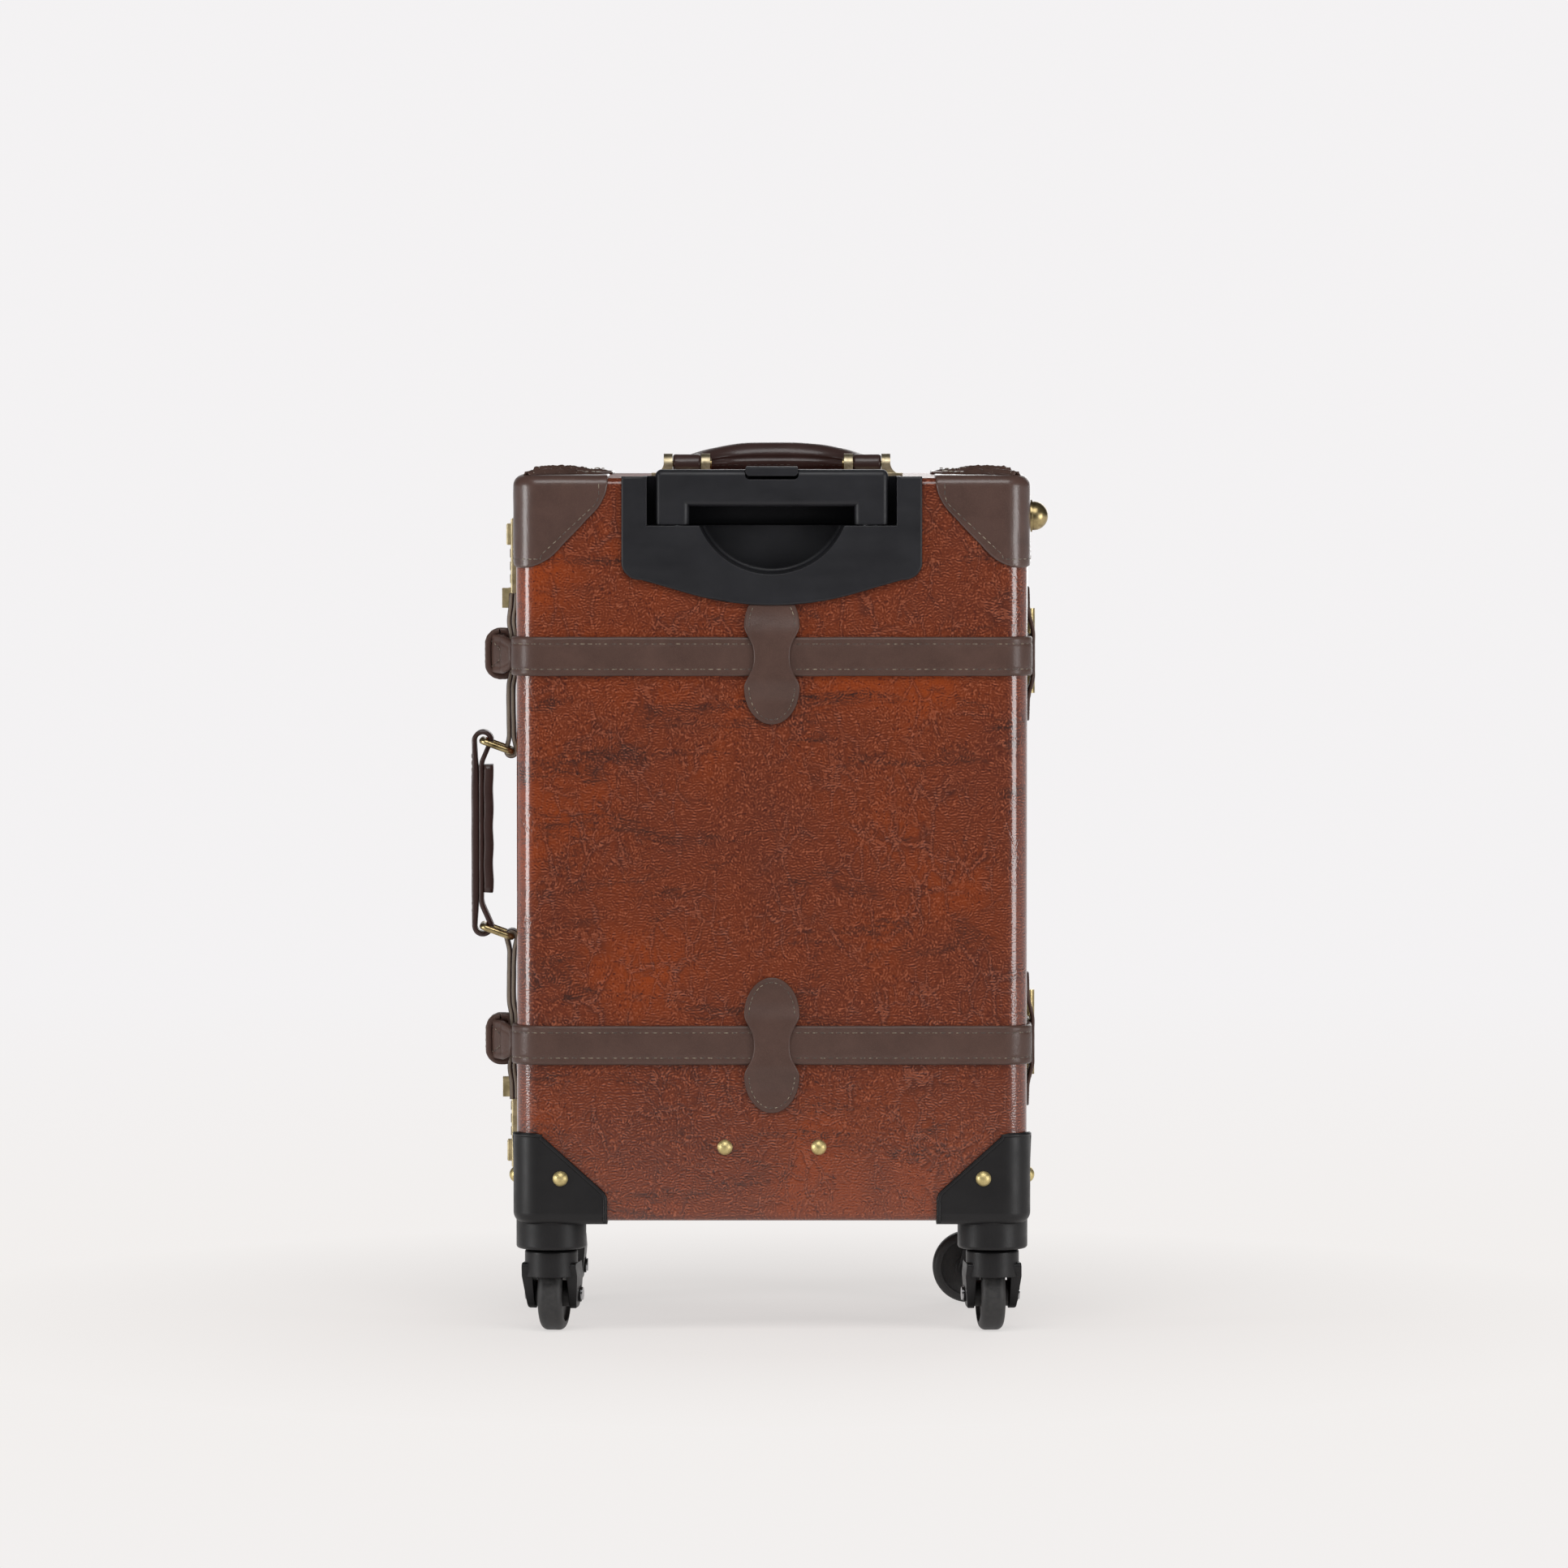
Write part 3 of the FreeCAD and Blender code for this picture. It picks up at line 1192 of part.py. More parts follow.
def hinge_leaf(z, knuckles, room):
    """Leaf on the right wall of the back half; knuckles and room are spans about its middle."""
    half = HINGE_LENGTH / 2
    near = SIDE + SEAT
    leaf = box(near, near + HINGE_LEAF_THICKNESS, -HINGE_LEAF_DEPTH, 0, z - half, z + half)
    axis = V(HINGE_X, 0, z)
    clear = HINGE_BARREL_RADIUS + GAP
    span = rod(axis - V(0, 0, half), axis + V(0, 0, half), clear)
    leaf = leaf.cut(span).cut(box(near, HINGE_X, RIM, clear, z - half, z + half))
    pieces = [leaf]
    for low, high in knuckles:
        pieces.append(rod(axis + V(0, 0, low), axis + V(0, 0, high), HINGE_BARREL_RADIUS))
        pieces.append(box(near, HINGE_X, -clear - HINGE_LEAF_THICKNESS, RIM, z + low, z + high))
    whole = joined(pieces)
    for low, high in room:
        whole = whole.cut(rod(axis + V(0, 0, low), axis + V(0, 0, high), clear))
    return whole.cut(rod(axis - V(0, 0, half), axis + V(0, 0, half), HINGE_PIN_RADIUS + RUN))


def knuckle_spans():
    """Spans of a hinge's outer knuckles and of its middle knuckle."""
    half = HINGE_LENGTH / 2
    inner = half - HINGE_KNUCKLE
    return [(-half, -inner - GAP / 2), (inner + GAP / 2, half)], [(-inner + GAP / 2, inner - GAP / 2)]


def back_hinge_leaves():
    """Leaves with the outer knuckles."""
    outer, middle = knuckle_spans()
    return [hinge_leaf(z, outer, []) for z in BELTS]


def front_hinge_leaves():
    """Leaves of the lid with the middle knuckles."""
    outer, middle = knuckle_spans()
    return to_front([hinge_leaf(z, middle, []) for z in BELTS])


def hinge_pins():
    """Pins through the hinge knuckles."""
    pins = []
    for z in BELTS:
        half = V(0, 0, HINGE_LENGTH / 2)
        pins.append(rod(V(HINGE_X, 0, z) - half, V(HINGE_X, 0, z) + half, HINGE_PIN_RADIUS))
    return pins


def back_side_foot():
    """Brass ball foot on the right upper corner cap."""
    centre = foot_centre()
    seat = SIDE + SEAT + CAP_THICKNESS + SEAT
    flange = rod(V(seat, centre.y, centre.z), V(seat + FOOT_FLANGE, centre.y, centre.z), FOOT_FLANGE_RADIUS)
    ball_x = seat + FOOT_FLANGE + FOOT_BALL_RISE
    ball = Part.makeSphere(FOOT_BALL_RADIUS, V(ball_x, centre.y, centre.z))
    reach = 2 * FOOT_BALL_RADIUS
    keep = box(seat, seat + reach, centre.y - reach, centre.y + reach, centre.z - reach, centre.z + reach)
    shank = rod(V(SIDE - WALL, centre.y, centre.z), V(seat, centre.y, centre.z), FOOT_SHANK_RADIUS)
    return [joined([flange, ball.common(keep), shank])]


def fork():
    """Castor fork on the swivel axis at the origin, its wheel trailing along +Y."""
    slot = WHEEL_WIDTH / 2 + WHEEL_SIDE_GAP
    outer = slot + FORK_LEG_THICKNESS
    crown_low = CROWN_TOP - CROWN_HEIGHT
    crown = rod(V(0, 0, crown_low), V(0, 0, CROWN_TOP), CROWN_RADIUS)
    top = [edge for edge in crown.Edges if edge.BoundBox.ZMin > CROWN_TOP - 1e-6]
    crown = crown.makeFillet(CROWN_EDGE_RADIUS, top)
    shoulder = CROWN_TOP - CROWN_HEIGHT / 2
    front = CASTOR_TRAIL - LEG_END_RADIUS
    rear = CASTOR_TRAIL + LEG_END_RADIUS
    root = CROWN_RADIUS * 0.8
    bottom = AXLE_Z - LEG_END_RADIUS
    side = [(front, bottom, LEG_END_RADIUS * 0.98), (rear, bottom, LEG_END_RADIUS * 0.98)]
    side += [(root, shoulder, 2), (root - LEG_ROOT_DEPTH, shoulder, 2)]
    wide = outer + FORK_SHOULDER
    leg = outline(side, profile).extrude(V(2 * wide, 0, 0))
    leg.translate(V(-wide, 0, 0))
    narrow = outer - LEG_TAPER
    view = [(-narrow, bottom, LEG_TAPER), (narrow, bottom, LEG_TAPER), (wide, crown_low, 2 * LEG_TAPER)]
    view += [(CROWN_RADIUS, CROWN_TOP, 0), (-CROWN_RADIUS, CROWN_TOP, 0), (-wide, crown_low, 2 * LEG_TAPER)]
    tapered = outline(view, elevation).extrude(V(0, 4 * CROWN_RADIUS, 0))
    tapered.translate(V(0, -2 * CROWN_RADIUS, 0))
    leg = leg.common(tapered)
    axle = V(0, CASTOR_TRAIL, AXLE_Z)
    across = V(slot, 0, 0)
    ends = V(outer, 0, 0)
    boss = rod(axle - ends, axle + ends, AXLE_BOSS_RADIUS)
    body = joined([crown, leg, boss])
    arch = rod(axle - across, axle + across, WHEEL_DIAMETER / 2 + WHEEL_ARCH_GAP)
    rims = [edge for edge in arch.Edges if edge.BoundBox.XLength < 1e-6]
    body = body.cut(arch.makeFillet(ARCH_ROUND, rims))
    below = box(-slot, slot, -2 * CROWN_RADIUS, 2 * CROWN_RADIUS + CASTOR_TRAIL, 0, crown_low)
    body = body.cut(below)
    collar = rod(V(0, 0, CROWN_TOP), V(0, 0, CROWN_TOP + COLLAR_HEIGHT), COLLAR_RADIUS)
    stem_top = CROWN_TOP + COLLAR_HEIGHT + STEM_LENGTH
    stem = rod(V(0, 0, CROWN_TOP), V(0, 0, stem_top), STEM_RADIUS)
    body = joined([body, collar, stem])
    reach = V(2 * outer, 0, 0)
    return body.cut(rod(axle - reach, axle + reach, AXLE_RADIUS + RUN))


def axle():
    """Headed axle through the fork's legs."""
    centre = V(0, CASTOR_TRAIL, AXLE_Z)
    half = V(WHEEL_WIDTH / 2 + WHEEL_SIDE_GAP + FORK_LEG_THICKNESS + SEAT, 0, 0)
    head = V(AXLE_HEAD_LENGTH, 0, 0)
    pieces = [rod(centre - half, centre + half, AXLE_RADIUS)]
    pieces.append(rod(centre + half, centre + half + head, AXLE_HEAD_RADIUS))
    pieces.append(rod(centre - half - head, centre - half, AXLE_HEAD_RADIUS))
    return joined(pieces)


def wheel():
    """Castor wheel with a rounded tread, dished sides and hubs that reach the fork's legs."""
    centre = V(0, CASTOR_TRAIL, AXLE_Z)
    half = WHEEL_WIDTH / 2
    across = V(half, 0, 0)
    tyre = rod(centre - across, centre + across, WHEEL_DIAMETER / 2)
    rims = [edge for edge in tyre.Edges if edge.BoundBox.XLength < 1e-6]
    tyre = tyre.makeFillet(TYRE_EDGE_RADIUS, rims)
    dish = WHEEL_DIAMETER / 2 - TYRE_DEPTH
    depth = V(WHEEL_DISH_DEPTH, 0, 0)
    tyre = tyre.cut(rod(centre + across - depth, centre + across, dish))
    tyre = tyre.cut(rod(centre - across, centre - across + depth, dish))
    reach = V(half + WHEEL_SIDE_GAP - GAP, 0, 0)
    hub = rod(centre - reach, centre + reach, HUB_RADIUS)
    whole = joined([tyre, hub])
    return whole.cut(rod(centre - reach, centre + reach, AXLE_RADIUS + RUN))


def export(name, solids):
    """Write one node's solids as a STEP file and print a short summary."""
    shape = solids[0] if len(solids) == 1 else Part.makeCompound(solids)
    count = len(shape.Solids)
    print(name, "solids", count, "valid", shape.isValid(), "volume", round(shape.Volume, 1))
    shape.exportStep(os.path.join("parts", name + ".step"))


def castors():
    """Fork, axle and wheel of each castor at its own place and turn."""
    places = [
        ("back_left", -CASTOR_X, -CASTOR_Y, BACK_LEFT_YAW),
        ("back_right", CASTOR_X, -CASTOR_Y, BACK_RIGHT_YAW),
        ("front_left", -CASTOR_X, CASTOR_Y, FRONT_LEFT_YAW),
        ("front_right", CASTOR_X, CASTOR_Y, FRONT_RIGHT_YAW),
    ]
    pieces = {"fork": fork(), "axle": axle(), "wheel": wheel()}
    for name, x, y, yaw in places:
        for kind, piece in pieces.items():
            placed = turned(piece, V(0, 0, 0), -yaw)
            placed.translate(V(x, y, 0))
            export(name + "_" + kind, [placed])


def main():
    """Build every node."""
    os.makedirs("parts", exist_ok=True)
    export("back_shell", back_shell())
    export("front_shell", front_shell())
    export("back_frame", frame())
    export("front_frame", to_front(frame()))
    export("back_lining", back_lining())
    export("front_lining", front_lining())
    export("back_corner_caps", back_corner_caps())
    export("front_corner_caps", to_front(corner_caps()))
    export("back_corner_guards", corner_guards())
    export("front_corner_guards", to_front(corner_guards()))
    export("back_rivets", guard_rivets() + bracket_rivets())
    export("front_rivets", to_front(guard_rivets()))
    export("back_belts", back_belts())
    export("front_belts", front_belts())
    export("back_belt_keepers", back_belt_keepers())
    export("front_belt_keepers", to_front(belt_keepers()))
    export("belt_loops", belt_loops())
    export("side_handle_tabs", side_handle_tabs())
    export("upper_handle_ring", handle_ring(HIGH_BAR_Z))
    export("lower_handle_ring", handle_ring(LOW_BAR_Z))
    export("side_handle", side_handle())
    export("top_handle_brackets", top_handle_brackets())
    export("top_handle_pins", top_handle_pins())
    export("top_handle", top_handle())
    export("trolley_housing", trolley_housing())
    export("trolley_outer_tubes", trolley_outer_tubes())
    export("trolley_mid_tubes", trolley_mid_tubes())
    export("trolley_inner_tubes", trolley_inner_tubes())
    export("trolley_grip", trolley_grip())
    export("trolley_button", trolley_button())
    export("trolley_foot_bracket", trolley_foot_bracket())
    export("lock_cases", lock_cases())
    export("hasp_bases", hasp_bases())
    for name, z, way in LOCKS:
        for i in (1, 2, 3):
            export(name + "_lock_dial_" + str(i), lock_dial(z + way * (2 - i) * DIAL_PITCH))
        export(name + "_lock_slider", lock_slider(z, way))
        export(name + "_hasp", hasp(z - way * KNOB_OFFSET))
    export("back_hinge_leaves", back_hinge_leaves())
    export("front_hinge_leaves", front_hinge_leaves())
    export("hinge_pins", hinge_pins())
    export("back_side_foot", back_side_foot())
    castors()


main()
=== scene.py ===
import json
import math
import random

import bmesh
import bpy
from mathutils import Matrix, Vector, noise


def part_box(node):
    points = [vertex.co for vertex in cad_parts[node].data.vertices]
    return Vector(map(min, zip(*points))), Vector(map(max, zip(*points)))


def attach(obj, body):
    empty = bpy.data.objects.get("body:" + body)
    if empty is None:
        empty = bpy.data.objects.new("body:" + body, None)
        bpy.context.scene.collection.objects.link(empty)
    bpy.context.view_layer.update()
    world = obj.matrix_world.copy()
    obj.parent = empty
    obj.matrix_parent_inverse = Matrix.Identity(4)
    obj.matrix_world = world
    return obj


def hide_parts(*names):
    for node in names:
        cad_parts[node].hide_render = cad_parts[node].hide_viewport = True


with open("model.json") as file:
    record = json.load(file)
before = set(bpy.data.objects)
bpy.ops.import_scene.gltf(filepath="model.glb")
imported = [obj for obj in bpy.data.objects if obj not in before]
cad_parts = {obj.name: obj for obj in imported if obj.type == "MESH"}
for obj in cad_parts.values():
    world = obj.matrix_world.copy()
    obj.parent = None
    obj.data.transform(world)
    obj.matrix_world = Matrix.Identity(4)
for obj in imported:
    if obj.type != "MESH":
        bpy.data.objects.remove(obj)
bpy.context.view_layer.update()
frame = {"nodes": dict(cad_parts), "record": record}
NODES = frame["nodes"]
random.seed(7)

# Lengths below are in millimetres, in the part's frame, and become metres when a mesh is made.
MM = 0.001

shell_low, shell_high = (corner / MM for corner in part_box("back_shell"))
SIDE = shell_high.x
DEPTH = -shell_low.y
TOP = shell_high.z
BOTTOM = shell_low.z
CORNER_RADIUS = 16.0
SEAT = 0.05

BELT_WIDTH = 25.4
BELT_THICKNESS = 3.2
belt_low, belt_high = (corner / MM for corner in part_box("back_belts"))
UPPER_BELT = belt_high.z - BELT_WIDTH / 2
LOWER_BELT = belt_low.z + BELT_WIDTH / 2
BELTS = (UPPER_BELT, LOWER_BELT)
STITCH_INSET = 4.5
STITCH_PITCH = 5.2
STITCH_LENGTH = 3.7
STITCH_RADIUS = 0.28

PATH_STEP = 5.0
STRAP_WIDTH = 20.0
STRAP_Y = -55.0
STRAP_EDGE = 1.1
STRAP_CROWN = 0.25
FURROW_DEPTH = 0.28
FURROW_WIDTH = 0.75


# Materials

def new_material(name, **inputs):
    """Material with one Principled shader; constant inputs are set on its own sockets."""
    material = bpy.data.materials.new(name)
    material.use_nodes = True
    tree = material.node_tree
    shader = tree.nodes["Principled BSDF"]
    for key, value in inputs.items():
        shader.inputs[key.replace("_", " ")].default_value = value
    return material, tree, shader


def add(tree, kind, links=(), **settings):
    """Node with settings; links maps input names or numbers to sockets or values."""
    node = tree.nodes.new(kind)
    for key, value in settings.items():
        setattr(node, key, value)
    for key, value in dict(links).items():
        if isinstance(value, bpy.types.NodeSocket):
            tree.links.new(value, node.inputs[key])
        else:
            node.inputs[key].default_value = value
    return node


def place(tree, scale=(1, 1, 1), turn=(0, 0, 0)):
    """Object coordinates, stretched and turned."""
    coords = add(tree, "ShaderNodeTexCoord")
    links = {"Vector": coords.outputs["Object"], "Scale": scale, "Rotation": turn}
    return add(tree, "ShaderNodeMapping", links).outputs["Vector"]


def cloud(tree, vector, scale, detail=3.0, rough=0.55, warp=0.0):
    """Noise value."""
    links = {"Vector": vector, "Scale": scale, "Detail": detail, "Roughness": rough, "Distortion": warp}
    return add(tree, "ShaderNodeTexNoise", links).outputs["Fac"]


def colour_cloud(tree, vector, scale, detail):
    """Noise with three independent values."""
    links = {"Vector": vector, "Scale": scale, "Detail": detail}
    return add(tree, "ShaderNodeTexNoise", links).outputs["Color"]


def ramp(tree, factor, stops):
    """Colour ramp from (position, colour) stops."""
    node = add(tree, "ShaderNodeValToRGB", {"Fac": factor})
    band = node.color_ramp.elements
    while len(band) < len(stops):
        band.new(0.5)
    for element, (position, colour) in zip(band, stops):
        element.position = position
        element.color = (*colour, 1)
    return node.outputs["Color"]


def grey(tree, factor, low, high, from_low=0.0, from_high=1.0):
    """Value remapped and clamped."""
    links = {"Value": factor, "From Min": from_low, "From Max": from_high, "To Min": low, "To Max": high}
    return add(tree, "ShaderNodeMapRange", links, clamp=True).outputs["Result"]


def blend_colour(tree, factor, first, second):
    """Mix of two colours, each a socket or three numbers."""
    links = {0: factor}
    for key, colour in ((6, first), (7, second)):
        links[key] = (*colour, 1) if isinstance(colour, tuple) else colour
    return add(tree, "ShaderNodeMix", links, data_type="RGBA").outputs[2]


def shade(tint, share):
    """Colour made darker or lighter by a share."""
    return tuple(min(1.0, channel * share) for channel in tint)


def vectors(tree, operation, *operands):
    """Result of an operation on vectors."""
    links = dict(enumerate(operands))
    return add(tree, "ShaderNodeVectorMath", links, operation=operation).outputs["Vector"]


def feed(tree, shader, **sockets):
    """Link sockets to the shader's inputs."""
    for key, socket in sockets.items():
        tree.links.new(socket, shader.inputs[key.replace("_", " ")])


def maths(tree, operation, first, second):
    """Sum, product or other operation on two values."""
    return add(tree, "ShaderNodeMath", {0: first, 1: second}, operation=operation).outputs["Value"]


def bump(tree, shader, height, depth, softened=0.0):
    """Bump of a given depth in millimetres; softened rounds sharp edges by that many millimetres."""
    links = {"Height": height, "Strength": 1.0, "Distance": depth * MM}
    if softened:
        bevel = add(tree, "ShaderNodeBevel", {"Radius": softened * MM}, samples=6)
        links["Normal"] = bevel.outputs["Normal"]
    normal = add(tree, "ShaderNodeBump", links).outputs["Normal"]
    feed(tree, shader, Normal=normal)
    return normal


def worms(tree, vector, scale, frequency, aligned, heading):
    """Labyrinth of ridges and grooves; aligned draws them out across a heading."""
    links = {"Vector": vector, "Scale": scale, "Frequency": frequency, "Anisotropy": aligned, 5: heading}
    return add(tree, "ShaderNodeTexGabor", links, gabor_type="3D").outputs["Value"]


def facing(tree):
    """Outward direction in the object's own frame."""
    return add(tree, "ShaderNodeTexCoord").outputs["Normal"]


def flow(tree, vector, scale):
    """Heading within the surface that turns slowly from place to place."""
    heading = vectors(tree, "SUBTRACT", colour_cloud(tree, vector, scale, 1.0), (0.5, 0.5, 0.5))
    return vectors(tree, "SUBTRACT", heading, vectors(tree, "PROJECT", heading, facing(tree)))


CREASE_STRETCH = (1.25, 1, 0.62)


def creases(tree, at, scale, width, some, grain):
    """Crests of a network and the folds beside them, ragged with the grain: masks for the bump, for
    painted highlight on the crests and for painted shade in the folds.

    some says where they show, width is a crest's half width in millimetres.
    """
    shift = vectors(tree, "MULTIPLY", colour_cloud(tree, at, 1.8 * scale, 2.0), (0.4 / scale,) * 3)
    torn = vectors(tree, "ADD", place(tree, CREASE_STRETCH), shift)
    links = {"Vector": torn, "Scale": scale}
    near = add(tree, "ShaderNodeTexVoronoi", links, feature="DISTANCE_TO_EDGE").outputs["Distance"]
    edge = width * MM * scale
    near = maths(tree, "ADD", near, grey(tree, grain, 1.3 * edge, -1.3 * edge, 0.2, 0.8))
    crest_and_highlight = grey(tree, near, 1.0, 0.0, 0.25 * edge, edge)
    rising = grey(tree, near, 0.0, 1.0, 0.8 * edge, 1.3 * edge)
    falling = grey(tree, near, 1.0, 0.0, 1.3 * edge, 2.9 * edge)
    fold_and_shade = maths(tree, "MULTIPLY", rising, falling)
    return maths(tree, "MULTIPLY", crest_and_highlight, some), maths(tree, "MULTIPLY", fold_and_shade, some)


SHELL_TINTS = (
    (0.36, (0.114, 0.0220, 0.0078)),
    (0.53, (0.144, 0.0250, 0.0052)),
    (0.66, (0.230, 0.0350, 0.0018)),
)
RIDGE_HIGHLIGHT = (0.300, 0.080, 0.035)
GROOVE_SHADE = (0.050, 0.0070, 0.0038)
FOLD_SHADE = (0.034, 0.0070, 0.0045)
CREST_HIGHLIGHT = (0.285, 0.088, 0.048)
SOOT = (0.036, 0.0125, 0.0088)
WRINKLE_SHADE = (0.026, 0.0090, 0.0062)
# Scale, half width, scale of the places, and the strengths of the painted shade in the folds and the
# painted highlight on the crests.
CREASES = ((34.0, 0.75, 24, 0.60, 0.32), (76.0, 0.55, 31, 0.55, 0.28))
STREAK_SLANT = (0, math.radians(-12), 0)


def shell_leather():
    """Varnished reddish-brown leather: mottled, creased, with smoky bands and a fine worm-like grain;
    painted highlight on the grain's ridges and the creases' crests, painted shade in the grain's
    grooves, the folds and fine wrinkle lines.
    """
    material, tree, shader = new_material(
        "shell_leather", Coat_Roughness=0.14, Coat_IOR=1.5, Specular_IOR_Level=0.2)
    at = place(tree)
    patch = cloud(tree, at, 8, 4, 0.55, 0.5)
    base = ramp(tree, patch, SHELL_TINTS)
    grain = worms(tree, at, 265.0, 2.1, 0.38, flow(tree, at, 42))
    # Painted highlight lightens the grain's ridges, less so in the lighter patches.
    calm = grey(tree, patch, 1.0, 0.35, 0.55, 0.66)
    ridge_highlight = maths(tree, "MULTIPLY", grey(tree, grain, 0.0, 1.0, 0.52, 0.76), calm)
    base = blend_colour(tree, ridge_highlight, base, RIDGE_HIGHLIGHT)
    # Painted shade darkens the grain's grooves.
    base = blend_colour(tree, grey(tree, grain, 0.95, 0.0, 0.20, 0.47), base, GROOVE_SHADE)

    height = grain
    for scale, width, spread, dark, light in CREASES:
        some = grey(tree, cloud(tree, at, spread, 3, 0.55, 0.5), 0.0, 1.0, 0.46, 0.60)
        crest_and_highlight, fold_and_shade = creases(tree, at, scale, width, some, grain)
        # Painted shade in the folds and painted highlight on the crests; their difference also goes into
        # the bump.
        base = blend_colour(tree, maths(tree, "MULTIPLY", fold_and_shade, dark), base, FOLD_SHADE)
        base = blend_colour(tree, maths(tree, "MULTIPLY", crest_and_highlight, light), base, CREST_HIGHLIGHT)
        relief = maths(tree, "MULTIPLY", maths(tree, "SUBTRACT", crest_and_highlight, fold_and_shade), 0.35)
        height = maths(tree, "ADD", height, relief)

    streak = cloud(tree, place(tree, (0.50, 1, 1.8), STREAK_SLANT), 19, 6, 0.68, 1.1)
    smoke = grey(tree, streak, 0.0, 0.9, 0.545, 0.66)
    soot = maths(tree, "MULTIPLY", smoke, grey(tree, grain, 0.90, 0.15, 0.36, 0.60))
    base = blend_colour(tree, soot, base, SOOT)
    # Painted shade: fine dark wrinkle lines inside the smoky bands, without any relief.
    lines = cloud(tree, place(tree, (0.38, 1, 1.4), STREAK_SLANT), 120, 3, 0.55, 0.9)
    rising = grey(tree, lines, 0.0, 1.0, 0.455, 0.49)
    band = maths(tree, "MULTIPLY", rising, grey(tree, lines, 1.0, 0.0, 0.49, 0.525))
    base = blend_colour(tree, maths(tree, "MULTIPLY", band, smoke), base, WRINKLE_SHADE)

    skin = bump(tree, shader, height, 0.10)
    even = add(tree, "ShaderNodeNewGeometry").outputs["Normal"]
    varnish = vectors(tree, "NORMALIZE", vectors(tree, "MULTIPLY_ADD", skin, (2.0, 2.0, 2.0), even))
    upward = add(tree, "ShaderNodeSeparateXYZ", {0: facing(tree)}).outputs["Z"]
    feed(tree, shader, Base_Color=base, Roughness=grey(tree, grain, 0.42, 0.54), Coat_Normal=varnish,
         Coat_Weight=grey(tree, upward, 1.0, 0.2, 0.55, 0.92))
    return material


def dark_leather(name, tint, gloss, coat=0.25):
    """Smooth dark brown leather with a fine pebble and slight wear; coat is the weight of its polish."""
    material, tree, shader = new_material(
        name, Coat_Weight=coat, Coat_Roughness=0.26, Specular_IOR_Level=0.2)
    at = place(tree)
    patch = cloud(tree, at, 45, 4, 0.6, 0.4)
    base = ramp(tree, patch, [(0.30, shade(tint, 0.86)), (0.52, tint), (0.74, shade(tint, 1.15))])
    pebble = add(tree, "ShaderNodeTexVoronoi", {"Vector": at, "Scale": 900.0}, feature="SMOOTH_F1")
    fine = cloud(tree, at, 1500, 2, 0.5)
    base = blend_colour(tree, grey(tree, fine, 0.0, 0.25, 0.45, 0.75), base, shade(tint, 1.6))
    height = maths(tree, "ADD", pebble.outputs["Distance"], maths(tree, "MULTIPLY", fine, 0.5))
    skin = bump(tree, shader, height, 0.055)
    rough = grey(tree, patch, gloss, gloss + 0.14)
    feed(tree, shader, Base_Color=base, Roughness=rough, Coat_Normal=skin)
    return material


RECESS_REACH = 30.0


def black_plastic(name, tint, gloss, softened):
    """Moulded black plastic with a fine spark-eroded grain and rounded edges; painted shade darkens its
    colour and lowers its reflections in recesses.
    """
    material, tree, shader = new_material(name)
    at = place(tree)
    fine = cloud(tree, at, 1300, 2, 0.6)
    patch = cloud(tree, at, 30, 3, 0.6)
    base = ramp(tree, patch, [(0.3, shade(tint, 0.85)), (0.7, shade(tint, 1.2))])
    # Painted shade: ambient occlusion darkens the colour and lowers the specular level in recesses.
    reach = {"Distance": RECESS_REACH * MM}
    free = add(tree, "ShaderNodeAmbientOcclusion", reach, samples=6).outputs["AO"]
    base = blend_colour(tree, grey(tree, free, 0.8, 0.0, 0.35, 0.85), base, shade(tint, 0.25))
    smudge = cloud(tree, place(tree, (0.4, 1, 1.6)), 60, 5, 0.65)
    feed(tree, shader, Base_Color=base, Specular_IOR_Level=grey(tree, free, 0.05, 0.30, 0.35, 0.85),
         Roughness=grey(tree, smudge, gloss - 0.06, gloss + 0.08, 0.3, 0.7))
    bump(tree, shader, fine, 0.035, softened)
    return material


def antique_brass(name, tint, dark, gloss):
    """Brass plating, darker in patches, with fine scratches."""
    material, tree, shader = new_material(name, Metallic=1.0)
    at = place(tree)
    patch = cloud(tree, at, 160, 5, 0.65, 0.5)
    base = ramp(tree, patch, [(0.32, dark), (0.55, tint), (0.8, shade(tint, 1.25))])
    scratch = cloud(tree, place(tree, (1, 1, 9)), 420, 3, 0.6)
    rough = grey(tree, scratch, gloss, gloss + 0.2, 0.3, 0.8)
    feed(tree, shader, Base_Color=base, Roughness=rough)
    bump(tree, shader, scratch, 0.02, 0.35)
    return material


def satin_metal(name, tint, gloss):
    """Drawn or brushed pale metal."""
    material, tree, shader = new_material(name, Metallic=1.0)
    brushed = cloud(tree, place(tree, (60, 60, 1)), 60, 3, 0.6)
    base = ramp(tree, brushed, [(0.3, shade(tint, 0.86)), (0.7, tint)])
    feed(tree, shader, Base_Color=base, Roughness=grey(tree, brushed, gloss, gloss + 0.12))
    bump(tree, shader, brushed, 0.01)
    return material


def wheel_rubber():
    """Wheel compound with a dusty tread."""
    material, tree, shader = new_material("wheel_rubber")
    at = place(tree)
    dust = cloud(tree, at, 240, 5, 0.7)
    base = ramp(tree, dust, [(0.35, (0.014, 0.014, 0.0145)), (0.75, (0.037, 0.035, 0.034))])
    feed(tree, shader, Base_Color=base, Roughness=grey(tree, dust, 0.46, 0.66, 0.3, 0.7))
    bump(tree, shader, cloud(tree, at, 1600, 2), 0.05, 0.4)
    return material


